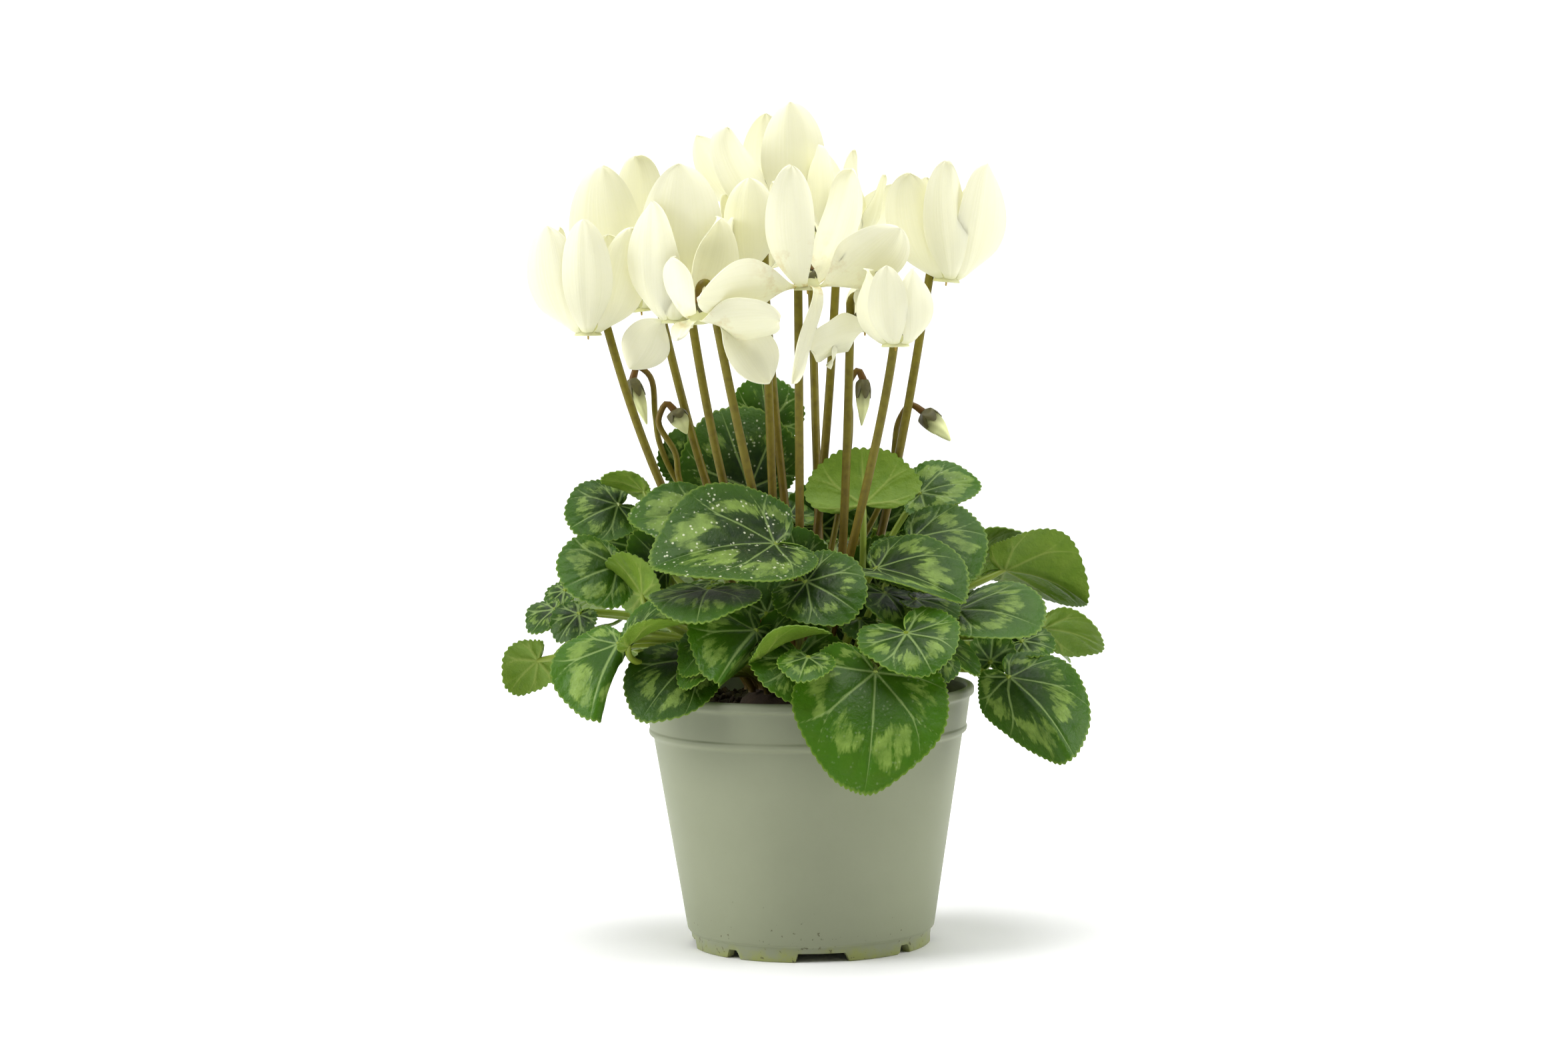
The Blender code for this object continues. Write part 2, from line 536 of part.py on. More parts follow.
def add_tuber(collection, material):
    """The tuber: a flattened ball that carries every stem."""
    profile = [(TUBER_RADIUS * math.cos(angle), TUBER_CENTRE + TUBER_HALF_HEIGHT * math.sin(angle))
               for angle in np.linspace(math.pi / 2, -math.pi / 2, 9)]
    profile[0] = (0.0, TUBER_CENTRE + TUBER_HALF_HEIGHT)
    profile[-1] = (0.0, TUBER_CENTRE - TUBER_HALF_HEIGHT)
    return add_turned("tuber", profile, collection, material, POT_SEGMENTS)


def add_leaf(name, leaf, start, collection, material):
    """A leaf: its blade and the petiole that it grew on, in one solid."""
    blade = add_sheet(name, blade_surface(leaf), *BLADE_GRID, BLADE_THICKNESS, collection, material)
    route = petiole_route(leaf, start)
    radii = [PETIOLE_RADIUS] * (len(route) - 1) + [PETIOLE_RADIUS * 0.8]
    petiole = as_mesh(add_tube(name + "_petiole", route, radii, collection, material), collection, material)
    return joined(blade, [petiole], collection, material)


def add_corolla(name, flower, collection, material):
    """A corolla: the short tube and the five petals that grew from its mouth, in one solid."""
    mouth, up = np.array(flower.mouth, float), unit(flower.top)
    tube = add_tube(name, [mouth, mouth + up * 3.5, mouth + up * TUBE_LENGTH],
                    [TUBE_MOUTH_RADIUS, TUBE_MOUTH_RADIUS * 0.95, TUBE_TOP_RADIUS], collection, material, 10)
    tube = as_mesh(tube, collection, material)
    petals = [add_sheet(f"{name}_petal_{index}", petal_surface(flower, tip, bearing), *PETAL_GRID,
                        PETAL_THICKNESS, collection, material)
              for index, (tip, bearing) in enumerate(petal_bearings(flower))]
    return joined(tube, petals, collection, material)


def add_flower_stalk(name, flower, start, collection, material):
    """A flower stalk with its calyx."""
    route, radii = stalk_route(flower, start)
    return as_mesh(add_tube(name, route, radii, collection, material), collection, material)


def add_bud(name, bud, start, collection, material):
    """A closed bud on its hooked stem, swelling from the calyx and closing to a point."""
    first = np.array(bud.route[0], float)
    height = np.linalg.norm(first - start)
    stem = [start, *bezier(start + STEM_FOOT, start + np.array((0.0, 0.0, 0.4 * height)) + np.array(bud.bow),
                           first - np.array((0.0, 0.0, 0.3 * height)), first, 6)]
    base, tip = np.array(bud.route[-2], float), np.array(bud.route[-1], float)
    body = [base + (tip - base) * share for share in (0.0, 0.15, 0.4, 0.7, 1.0)]
    route = [*stem, *(np.array(point, float) for point in bud.route[1:-2]), *body]
    slim = [BUD_STEM_RADIUS] * (len(route) - len(body))
    radii = slim + [BUD_STEM_RADIUS * 1.3, bud.swell * 0.9, bud.swell, bud.swell * 0.6, 0.3]
    return as_mesh(add_tube(name, route, radii, collection, material), collection, material)


def main():
    clear_scene()
    plant = new_collection("potted_cyclamen")
    cutters = new_collection("cutters")
    pot_plastic = new_material("moulded_pot_plastic", (0.30, 0.34, 0.26), 0.6)
    peat = new_material("peat_compost", (0.03, 0.022, 0.015), 0.95)
    cork = new_material("tuber_skin", (0.12, 0.07, 0.04), 0.9)
    leaf_green = new_material("leaf_green", (0.09, 0.20, 0.05), 0.5)
    stem_green = new_material("stem_olive", (0.22, 0.19, 0.05), 0.5)
    petal_white = new_material("petal_white", (0.92, 0.90, 0.75), 0.6)
    bud_green = new_material("bud_green", (0.45, 0.50, 0.20), 0.5)

    add_pot(plant, pot_plastic, cutters)
    add_soil(plant, peat)
    add_tuber(plant, cork)

    targets = {name: (leaf.ring, leaf.joint[0], leaf.joint[1]) for name, leaf in LEAVES.items()}
    targets |= {name: (flower.ring, flower.mouth[0], flower.mouth[1]) for name, flower in FLOWERS.items()}
    targets |= {name: (bud.ring, bud.route[0][0], bud.route[0][1]) for name, bud in BUDS.items()}
    starts = crown_places(targets)
    for name, leaf in LEAVES.items():
        add_leaf(name, leaf, starts[name], plant, leaf_green)
    for name, flower in FLOWERS.items():
        add_flower_stalk("flower_stalk_" + name, flower, starts[name], plant, stem_green)
        add_corolla("corolla_" + name, flower, plant, petal_white)
    for name, bud in BUDS.items():
        add_bud(name, bud, starts[name], plant, bud_green)
    for item in plant.objects:
        if item.type == "MESH":
            item.data.shade_smooth()
            item.data.set_sharp_from_angle(angle=math.radians(SHARP_ANGLE))


main()
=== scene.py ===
# %% [markdown]
# # A potted cyclamen
# A florist's cyclamen has one flat tuber at the soil line. Leaves and flowers all rise from it on their own
# stems. The stems lean outwards, so the leaves make a low dome and the flowers stand in a bunch above it.
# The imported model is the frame. It gives every piece its place, and each finer piece made here stands for
# one of its nodes.

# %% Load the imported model
import json
import math
from collections import namedtuple

import bpy
import numpy as np
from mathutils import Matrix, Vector
from mathutils.bvhtree import BVHTree

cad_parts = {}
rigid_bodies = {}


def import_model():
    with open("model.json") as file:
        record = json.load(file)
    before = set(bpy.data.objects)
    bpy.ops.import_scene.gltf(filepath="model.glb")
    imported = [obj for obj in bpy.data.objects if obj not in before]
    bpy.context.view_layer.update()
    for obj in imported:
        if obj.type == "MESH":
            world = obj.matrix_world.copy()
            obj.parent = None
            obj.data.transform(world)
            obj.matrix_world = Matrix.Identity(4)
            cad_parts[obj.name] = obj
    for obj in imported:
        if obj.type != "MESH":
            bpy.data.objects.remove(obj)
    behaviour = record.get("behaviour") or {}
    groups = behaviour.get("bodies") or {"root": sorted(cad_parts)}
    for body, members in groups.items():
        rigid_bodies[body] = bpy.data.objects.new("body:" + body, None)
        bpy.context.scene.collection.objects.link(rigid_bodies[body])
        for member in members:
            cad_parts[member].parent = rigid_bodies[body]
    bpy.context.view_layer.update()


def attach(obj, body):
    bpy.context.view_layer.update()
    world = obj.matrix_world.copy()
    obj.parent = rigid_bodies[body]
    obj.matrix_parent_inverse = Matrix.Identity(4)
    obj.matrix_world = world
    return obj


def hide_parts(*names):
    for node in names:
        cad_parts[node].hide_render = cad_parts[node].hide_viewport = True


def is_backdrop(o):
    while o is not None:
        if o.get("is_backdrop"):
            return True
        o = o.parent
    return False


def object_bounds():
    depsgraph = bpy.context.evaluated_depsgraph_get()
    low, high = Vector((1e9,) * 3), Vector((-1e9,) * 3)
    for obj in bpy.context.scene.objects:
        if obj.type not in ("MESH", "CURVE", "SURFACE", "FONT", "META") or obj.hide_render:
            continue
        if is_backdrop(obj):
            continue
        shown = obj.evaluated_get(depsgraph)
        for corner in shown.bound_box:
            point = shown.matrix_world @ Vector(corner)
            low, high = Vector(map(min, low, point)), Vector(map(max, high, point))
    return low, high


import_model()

MM = 0.001

# %% [markdown]
# The camera stands in front of the plant, higher than its middle, and looks down by a few degrees. A long
# lens keeps the pot's sides straight. Each piece's own measures are in millimetres and are scaled once.

# %% Camera
camera_data = bpy.data.cameras.new("front_camera")
camera_data.lens = 83.3
camera_data.sensor_width = 36.0
camera = bpy.data.objects.new("front_camera", camera_data)
camera.location = (-0.0075, -1.300, 0.2389)
camera.rotation_mode = "XYZ"
PITCH, ROLL = math.radians(3.83), math.radians(-0.894)
camera.rotation_euler = (math.pi / 2 - PITCH, 0.0, 0.0)
bpy.context.scene.collection.objects.link(camera)
camera.rotation_euler.rotate_axis("Z", ROLL)
bpy.context.scene.camera = camera
print("camera", tuple(round(value, 3) for value in camera.location), "lens", camera_data.lens)

# %% [markdown]
# A colour is written as the hex value that a paint program shows. Blender's shaders work with linear light,
# so one function converts it. One small function adds a shader node with its settings and links. Two more
# do what most of the finishes need: read the numbers that a mesh's points carry, and lay one colour over
# another. A Mix node takes its colours at inputs 6 and 7 and gives the result at output 2. Object
# coordinates are in metres, so a pattern's scale is the number of its grains in a metre: 500 gives grains
# of 2 mm.

# %% Colour and shader helpers


def linear(hex_colour):
    """A hex sRGB colour as linear RGBA: channel c becomes c/12.92, or ((c+0.055)/1.055)^2.4 above 0.04045."""
    channels = np.array([int(hex_colour[i:i + 2], 16) for i in (1, 3, 5)]) / 255.0
    bright = np.where(channels <= 0.04045, channels / 12.92, ((channels + 0.055) / 1.055) ** 2.4)
    return (*(float(channel) for channel in bright), 1.0)


def fill(owner, node, inputs):
    """Fill a node's inputs: an output is linked in, a hex colour becomes linear, and the rest is set."""
    for key, value in inputs.items():
        if isinstance(value, bpy.types.NodeSocket):
            owner.node_tree.links.new(value, node.inputs[key])
        else:
            node.inputs[key].default_value = linear(value) if isinstance(value, str) else value


def add_node(material, kind, inputs=None, output=0, **settings):
    """Add a shader node to a material, make its settings, fill its inputs and return one of its outputs."""
    node = material.node_tree.nodes.new("ShaderNode" + kind)
    for name, value in settings.items():
        setattr(node, name, value)
    fill(material, node, inputs or {})
    return node.outputs[output]


def new_material(name):
    """A material, its Principled shader, and the Object coordinates that its patterns are laid out on."""
    made = bpy.data.materials.new(name)
    made.use_nodes = True
    return made, made.node_tree.nodes["Principled BSDF"], add_node(made, "TexCoord", output=3)


def carried(material, name):
    """The three numbers that the mesh's points carry under this name."""
    vector = add_node(material, "Attribute", output=1, attribute_name=name)
    return list(add_node(material, "SeparateXYZ", {0: vector}).node.outputs)


def coat(material, under, over, value, start, end, least, most):
    """One colour over another: its share goes from least to most as the value goes from start to end."""
    share = add_node(material, "MapRange", {0: value, 1: start, 2: end, 3: least, 4: most})
    return add_node(material, "Mix", {0: share, 6: under, 7: over}, 2, data_type="RGBA")


print("pure red in linear light:", linear("#ff0000"))

# %% [markdown]
# Every new piece is a sheet or a tube: a grid of points worked out in one go by numpy. A sheet gets a front
# and a back skin and a wall all round its edge. A tube is a ring carried along a path, with a lid at each
# end. Both are closed, so light treats them as solid. Points can carry values, such as the distance to the
# nearest vein, and the shader reads them by name.

# %% Sheets, tubes and meshes
SHARP_ANGLE = 50
Shape = namedtuple("Shape", "places faces traits slot")
# places: points in millimetres; faces: arrays of corner numbers; traits: name to one vector for each point;
# slot: which of the piece's materials it takes


def unit(vectors):
    """Vectors at length one, along the last axis."""
    vectors = np.asarray(vectors, dtype=float)
    return vectors / np.maximum(np.linalg.norm(vectors, axis=-1, keepdims=True), 1e-12)


def quads(rows, columns):
    """Corners of the squares of a grid, turning from the column direction to the row direction."""
    corner = np.arange(rows * columns).reshape(rows, columns)
    return np.stack([corner[:-1, :-1], corner[:-1, 1:], corner[1:, 1:], corner[1:, :-1]], -1).reshape(-1, 4)


def sheet(middle, thickness, traits=None, slot=0):
    """A closed sheet from its middle surface, an array of rows, columns and 3.

    The front skin is the middle plus half the thickness along the normal, the back skin is the middle
    minus it, and the wall joins the two round the edge. The trait "side" is 0 in front and 1 behind.
    """
    rows, columns, _ = middle.shape
    along_columns = np.gradient(middle, axis=1)
    along_rows = np.gradient(middle, axis=0)
    normal = unit(np.cross(along_columns, along_rows))
    half = 0.5 * np.asarray(thickness)[..., None] * normal
    front, back = middle + half, middle - half
    count = rows * columns
    face = quads(rows, columns)
    corner = np.arange(count).reshape(rows, columns)
    rim = np.concatenate([corner[0, ::-1], corner[1:, 0], corner[-1, 1:], corner[-2:0:-1, -1]])
    following = np.roll(rim, -1)
    wall = np.stack([rim, following, following + count, rim + count], -1)
    carried = {name: np.concatenate([value.reshape(count, 3)] * 2) for name, value in (traits or {}).items()}
    carried["side"] = np.repeat(np.array([[0.0] * 3, [1.0] * 3]), count, axis=0)
    places = np.concatenate([front.reshape(-1, 3), back.reshape(-1, 3)])
    return Shape(places, [face, face[:, ::-1] + count, wall], carried, slot)


def tube(path, radii, reference, sides=12, slot=0):
    """A closed tube: a ring of radius r(s) at each point of the path, square to the path.

    The ring's first direction is the reference with its part along the path taken out. Its points carry
    the share of the path and of the turn.
    """
    path = np.asarray(path, dtype=float)
    heading = unit(np.gradient(path, axis=0))
    first = unit(reference - heading * (heading @ reference)[:, None])
    second = np.cross(heading, first)
    turn = np.linspace(0, 2 * math.pi, sides, endpoint=False)
    ring = first[:, None] * np.cos(turn)[:, None] + second[:, None] * np.sin(turn)[:, None]
    ring = ring * np.asarray(radii, dtype=float)[:, None, None]
    places = (path[:, None] + ring).reshape(-1, 3)
    count = len(path)
    corner = np.arange(count * sides).reshape(count, sides)
    nearby = np.roll(corner, -1, axis=1)
    skin = np.stack([corner[:-1], nearby[:-1], nearby[1:], corner[1:]], -1).reshape(-1, 4)
    share = np.repeat(np.linspace(0, 1, count), sides)
    around = np.tile(turn / (2 * math.pi), count)
    stem = np.stack([share, around, np.zeros_like(share)], -1)
    return Shape(places, [skin, corner[:1, ::-1], corner[-1:]], {"stem": stem}, slot)


def bezier(first, second, third, fourth, count):
    """Points of a cubic Bezier curve: (1-s)^3 a + 3(1-s)^2 s b + 3(1-s)s^2 c + s^3 d."""
    s = np.linspace(0.0, 1.0, count)[:, None]
    return ((1 - s) ** 3 * np.asarray(first) + 3 * (1 - s) ** 2 * s * np.asarray(second)
            + 3 * (1 - s) * s**2 * np.asarray(third) + s**3 * np.asarray(fourth))


def smooth_path(points, count):
    """A path through points: each coordinate is a cubic (Catmull-Rom) curve of the length walked so far."""
    points = np.asarray(points, dtype=float)
    walked = np.concatenate([[0.0], np.cumsum(np.linalg.norm(np.diff(points, axis=0), axis=1))])
    slope = np.gradient(points, walked, axis=0)
    at = np.linspace(0.0, walked[-1], count)
    left = np.clip(np.searchsorted(walked, at, side="right") - 1, 0, len(points) - 2)
    step = (walked[left + 1] - walked[left])[:, None]
    s = (at - walked[left])[:, None] / step
    return ((2 * s**3 - 3 * s**2 + 1) * points[left] + (s**3 - 2 * s**2 + s) * step * slope[left]
            + (-2 * s**3 + 3 * s**2) * points[left + 1] + (s**3 - s**2) * step * slope[left + 1])


def build(name, shapes, materials, replaced=None, rides=True):
    """One object from closed shapes: their points and faces end to end, riding on the model's body."""
    offsets = np.cumsum([0] + [len(shape.places) for shape in shapes])
    faces = [face + offset for shape, offset in zip(shapes, offsets) for face in shape.faces]
    sizes = np.concatenate([np.full(len(face), face.shape[1]) for face in faces])
    slots = np.concatenate([np.full(len(face), shape.slot) for shape in shapes for face in shape.faces])
    corners = np.concatenate([face.ravel() for face in faces])
    places = np.concatenate([shape.places for shape in shapes]) * MM
    mesh = bpy.data.meshes.new(name)
    mesh.vertices.add(len(places))
    mesh.vertices.foreach_set("co", places.ravel())
    mesh.loops.add(len(corners))
    mesh.loops.foreach_set("vertex_index", corners.astype(np.int32))
    mesh.polygons.add(len(sizes))
    mesh.polygons.foreach_set("loop_start", np.concatenate([[0], np.cumsum(sizes)[:-1]]).astype(np.int32))
    mesh.polygons.foreach_set("material_index", slots.astype(np.int32))
    for trait in sorted({trait for shape in shapes for trait in shape.traits}):
        values = [shape.traits.get(trait, np.zeros((len(shape.places), 3))) for shape in shapes]
        values = np.concatenate(values)
        mesh.attributes.new(trait, "FLOAT_VECTOR", "POINT").data.foreach_set("vector", values.ravel())
    mesh.update(calc_edges=True)
    mesh.validate()
    mesh.shade_smooth()
    mesh.set_sharp_from_angle(angle=math.radians(SHARP_ANGLE))
    for material in materials:
        mesh.materials.append(material)
    made = bpy.data.objects.new(name, mesh)
    bpy.context.scene.collection.objects.link(made)
    if rides:
        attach(made, "root")
    if replaced:
        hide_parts(replaced)
    return made


def ripples(values, seed, lowest=2.0, octaves=4):
    """Smooth noise from -1 to 1: sine waves in fixed pseudo-random directions, each octave half as strong."""
    random = np.random.default_rng(seed)
    total = np.zeros(values.shape[:-1])
    weight = 0.0
    for octave in range(octaves):
        for _ in range(3):
            direction = unit(random.normal(size=values.shape[-1])) * lowest * 1.9**octave
            total += 0.5**octave * np.sin(values @ direction + random.uniform(0, 2 * math.pi))
        weight += 0.5**octave * 1.8
    return total / weight


print("sheet, tube and build are ready")


# %% [markdown]
# The pot is a thin-walled nursery pot. It is injection moulded in one pull, so its wall leans outwards all
# the way up. A lathe shape suits it: one closed outline, with every corner rounded a little, turned about
# the axis. The foot ring's lower edge is lifted at eight places round it, broad and narrow in turn, which
# makes the notches that let water out.

# %% Pot
POT_HEIGHT, RIM_RADIUS, COLLAR_RADIUS, COLLAR_BOTTOM, COLLAR_TAPER = 93.0, 60.0, 58.4, 77.0, 1.6
BODY_TOP_RADIUS, BODY_FOOT_RADIUS, FOOT_RADIUS, FOOT_HEIGHT = 55.4, 44.5, 43.3, 6.0
FOOT_RING_WIDTH, WALL, FLOOR_UNDERSIDE, FLOOR_THICKNESS = 3.4, 1.4, 4.6, 1.8
NOTCH_COUNT, NOTCH_BEARING, NOTCH_HEIGHT = 8, -85.3, 3.2
BROAD_NOTCH, NARROW_NOTCH = 18.5, 5.0
DRAIN_COUNT, DRAIN_RADIUS, DRAIN_CIRCLE = 5, 5.0, 28.0


def rounded(outline, radius, steps=4):
    """A closed outline whose corners become quadratic curves that start and end `radius` away from them."""
    outline = np.asarray(outline, dtype=float)
    before, after = np.roll(outline, 1, axis=0) - outline, np.roll(outline, -1, axis=0) - outline
    shorter = np.minimum(np.linalg.norm(before, axis=1), np.linalg.norm(after, axis=1))
    reach = np.minimum(radius, 0.45 * shorter)
    start, end = outline + unit(before) * reach[:, None], outline + unit(after) * reach[:, None]
    s = np.linspace(0, 1, steps)[None, :, None]
    curve = (1 - s) ** 2 * start[:, None] + 2 * s * (1 - s) * outline[:, None] + s**2 * end[:, None]
    return curve.reshape(-1, 2)


def turned(radius, height, closed, slot=0):
    """A solid of revolution from radius and height, arrays of outline points by bearings.

    A point is (r cos b, r sin b, z). A closed outline joins its last point to its first; an open one ends
    in two small lids on the axis.
    """
    count, sides = radius.shape
    bearing = np.linspace(0, 2 * math.pi, sides, endpoint=False)
    places = np.stack([radius * np.cos(bearing), radius * np.sin(bearing), height], -1).reshape(-1, 3)
    corner = np.arange(count * sides).reshape(count, sides)
    below = np.roll(corner, -1, axis=0)
    if not closed:
        corner, below = corner[:-1], below[:-1]
    skin = np.stack([corner, below, np.roll(below, -1, axis=1), np.roll(corner, -1, axis=1)], -1)
    faces = [skin.reshape(-1, 4)]
    if not closed:
        faces += [corner[:1], below[-1:, ::-1]]
    return Shape(places, faces, {}, slot)


def pot_shape(sides=320):
    """The pot: lip, collar with a bead at each end, leaning wall, raised floor and notched foot ring."""
    floor_top = FLOOR_UNDERSIDE + FLOOR_THICKNESS
    outline = [
        (RIM_RADIUS - 0.7, POT_HEIGHT), (RIM_RADIUS, POT_HEIGHT - 0.8), (RIM_RADIUS, POT_HEIGHT - 3.0),
        (COLLAR_RADIUS + 0.2, POT_HEIGHT - 3.9), (COLLAR_RADIUS - 0.1, POT_HEIGHT - 5.0),
        (COLLAR_RADIUS - COLLAR_TAPER + 0.1, 78.8),
        (COLLAR_RADIUS - COLLAR_TAPER + 0.5, 78.2), (COLLAR_RADIUS - COLLAR_TAPER + 0.4, COLLAR_BOTTOM - 0.2),
        (BODY_TOP_RADIUS + 0.2, COLLAR_BOTTOM - 1.4), (BODY_TOP_RADIUS, COLLAR_BOTTOM - 2.6),
        (BODY_FOOT_RADIUS, FOOT_HEIGHT), (FOOT_RADIUS, FOOT_HEIGHT - 0.8), (FOOT_RADIUS - 0.2, 0.0),
        (FOOT_RADIUS - FOOT_RING_WIDTH, 0.0), (FOOT_RADIUS - FOOT_RING_WIDTH, FLOOR_UNDERSIDE),
        (0.4, FLOOR_UNDERSIDE), (0.4, floor_top), (BODY_FOOT_RADIUS - WALL, floor_top),
        (BODY_TOP_RADIUS - WALL, COLLAR_BOTTOM - 2.0),
        (COLLAR_RADIUS - COLLAR_TAPER - WALL, COLLAR_BOTTOM + 1.0),
        (COLLAR_RADIUS - WALL, POT_HEIGHT - 1.0), (COLLAR_RADIUS - WALL + 0.8, POT_HEIGHT),
    ]
    profile = rounded(outline, 0.7)
    radius, height = np.repeat(profile[:, :1], sides, axis=1), np.repeat(profile[:, 1:], sides, axis=1)
    bearing = np.linspace(0, 2 * math.pi, sides, endpoint=False)
    place = (bearing - math.radians(NOTCH_BEARING)) * NOTCH_COUNT / (2 * math.pi)
    nearest = np.round(place)
    off_notch = np.abs(place - nearest) * 2 * math.pi / NOTCH_COUNT * FOOT_RADIUS
    width = np.where(nearest % 2 == 0, BROAD_NOTCH, NARROW_NOTCH)
    lift = NOTCH_HEIGHT * np.clip((0.5 * width - off_notch) / 0.6 + 0.5, 0.0, 1.0)
    on_ring = (profile[:, 1] < FOOT_HEIGHT - 1.5) & (profile[:, 0] > FOOT_RADIUS - FOOT_RING_WIDTH - 0.1)
    height = np.where(on_ring[:, None], np.maximum(height, lift), height)
    return turned(radius, height, closed=True)


def drain_holes(pot):
    """Cut the drain holes: short cylinders on a circle are taken out of the floor and then removed.

    The exact solver leaves a few open edges on this fine mesh; the manifold solver leaves none.
    """
    cutters = []
    for index in range(DRAIN_COUNT):
        bearing = 2 * math.pi * (index + 0.5) / DRAIN_COUNT - math.pi / 2
        middle = np.array((DRAIN_CIRCLE * math.cos(bearing), DRAIN_CIRCLE * math.sin(bearing), 5.5))
        plug = tube([middle - (0, 0, 3), middle + (0, 0, 3)], [DRAIN_RADIUS] * 2, np.array((1.0, 0, 0)), 32)
        cutter = build(f"drain_cutter_{index + 1}", [plug], [], rides=False)
        hole = pot.modifiers.new(cutter.name, "BOOLEAN")
        hole.operation, hole.solver, hole.object = "DIFFERENCE", "MANIFOLD", cutter
        cutters.append(cutter)
    bpy.context.view_layer.update()
    cut = bpy.data.meshes.new_from_object(pot.evaluated_get(bpy.context.evaluated_depsgraph_get()))
    pot.modifiers.clear()
    pot.data = cut
    cut.name = pot.name
    for cutter in cutters:
        bpy.data.objects.remove(cutter, do_unlink=True)


pot = build("nursery_pot", [pot_shape()], [], replaced="pot")
drain_holes(pot)
print("pot faces:", len(pot.data.polygons))

# %% [markdown]
# The pot is polypropylene coloured grey-green in the granulate. The mould was spark-eroded, which leaves an
# even matte skin, so the light on it is wide and soft. Water has left algae and grit round the foot. The
# grit and stains are noise on Object coordinates, kept low down by the height.

# %% Moulded polypropylene
plastic, shader, where = new_material("grey_green_moulded_polypropylene")
height = add_node(plastic, "SeparateXYZ", {0: where}, output=2)
# the granulate's colour drifts a little, over about 36 mm
cloud = add_node(plastic, "TexNoise", {"Vector": where, "Scale": 28.0, "Detail": 5.0})
tone = add_node(plastic, "Mix", {0: cloud, 6: "#80866a", 7: "#8c9176"}, 2, data_type="RGBA")
# the leaning wall catches more light than the collar, which is nearly upright and shaded by the leaves
# painted shade: this darker coat on the collar stands for that shade
tone = coat(plastic, tone, "#6d735a", height, 0.060, 0.088, 0.0, 0.75)
# algae grow in patches of 8 mm on the lowest 11 mm
low = add_node(plastic, "MapRange", {0: height, 1: 0.011, 2: 0.001, 3: 0.0, 4: 1.0})
algae = add_node(plastic, "TexNoise", {"Vector": where, "Scale": 130.0, "Detail": 6.0, "Roughness": 0.7})
algae = add_node(plastic, "Math", {0: low, 1: algae}, operation="MULTIPLY")
tone = coat(plastic, tone, "#8d9440", algae, 0.30, 0.52, 0.0, 0.75)
# splashed grit thins out 30 mm above the floor; its grains are drawn at 2 mm, coarser than real, to show
low = add_node(plastic, "MapRange", {0: height, 1: 0.030, 2: 0.002, 3: 0.76, 4: 0.95})
grit = add_node(plastic, "TexNoise", {"Vector": where, "Scale": 520.0, "Detail": 3.0})
grit = add_node(plastic, "Math", {0: grit, 1: low}, operation="MULTIPLY")
tone = coat(plastic, tone, "#4a4628", grit, 0.60, 0.66, 0.0, 0.85)
# the spark-eroded grain is about 0.1 mm, too fine to show, so it is drawn at 0.7 mm
skin = add_node(plastic, "TexNoise", {"Vector": where, "Scale": 1500.0, "Detail": 2.0})
skin = add_node(plastic, "Bump", {"Strength": 0.12, "Distance": 0.0002, "Height": skin})
fill(plastic, shader, {"Base Color": tone, "Normal": skin, "Roughness": 0.52, "IOR": 1.49,
                       "Sheen Weight": 0.22, "Sheen Roughness": 0.6, "Sheen Tint": "#e4ecc8"})
pot.data.materials.clear()
pot.data.materials.append(plastic)
print("nodes in the plastic:", len(plastic.node_tree.nodes))

# %% [markdown]
# The compost is dark peat with crumbs and a little moss on it. Its surface is a turned disc that is pushed
# up and down by smooth noise, and crumbs lie on it. One crumb is a rough 20-sided ball, and it is repeated
# as arrays, each turned, squashed and placed by seeded random numbers.

# %% Compost
SOIL_TOP, TUBER_RADIUS, TUBER_HALF_HEIGHT, TUBER_CENTRE, GAP = 85.5, 25.0, 8.5, 86.5, 0.3
CRUMB_CIRCLE = 56.0


def compost_shape(sides=180, rings=50):
    """The compost: from the axis under the tuber out over the surface, down inside the wall and back under.

    The surface height is the soil line plus 1 mm of broad and 0.5 mm of fine noise, which fade at the wall.
    """
    inner = COLLAR_RADIUS - WALL - 1.1
    out = np.linspace(0.4, inner, rings)
    bearing = np.linspace(0, 2 * math.pi, sides, endpoint=False)
    flat = np.stack([out[:, None] * np.cos(bearing), out[:, None] * np.sin(bearing)], -1)
    fade = np.clip((inner - out) / 3.0, 0.0, 1.0)[:, None]
    top = SOIL_TOP + 0.4 + fade * (1.0 * ripples(flat, 3, 0.25, 5) + 0.5 * ripples(flat, 4, 1.4, 3))
    floor = FLOOR_UNDERSIDE + FLOOR_THICKNESS + GAP
    low = np.array([(COLLAR_RADIUS - COLLAR_TAPER - WALL - 0.5, COLLAR_BOTTOM + 1.0),
                    (BODY_TOP_RADIUS - WALL - GAP, COLLAR_BOTTOM - 2.4),
                    (BODY_FOOT_RADIUS - WALL - GAP, floor), (0.4, floor)])
    radius = np.concatenate([np.repeat(out[:, None], sides, 1), np.repeat(low[:, :1], sides, 1)])
    height = np.concatenate([top, np.repeat(low[:, 1:], sides, 1)])
    return turned(radius, height, closed=False)


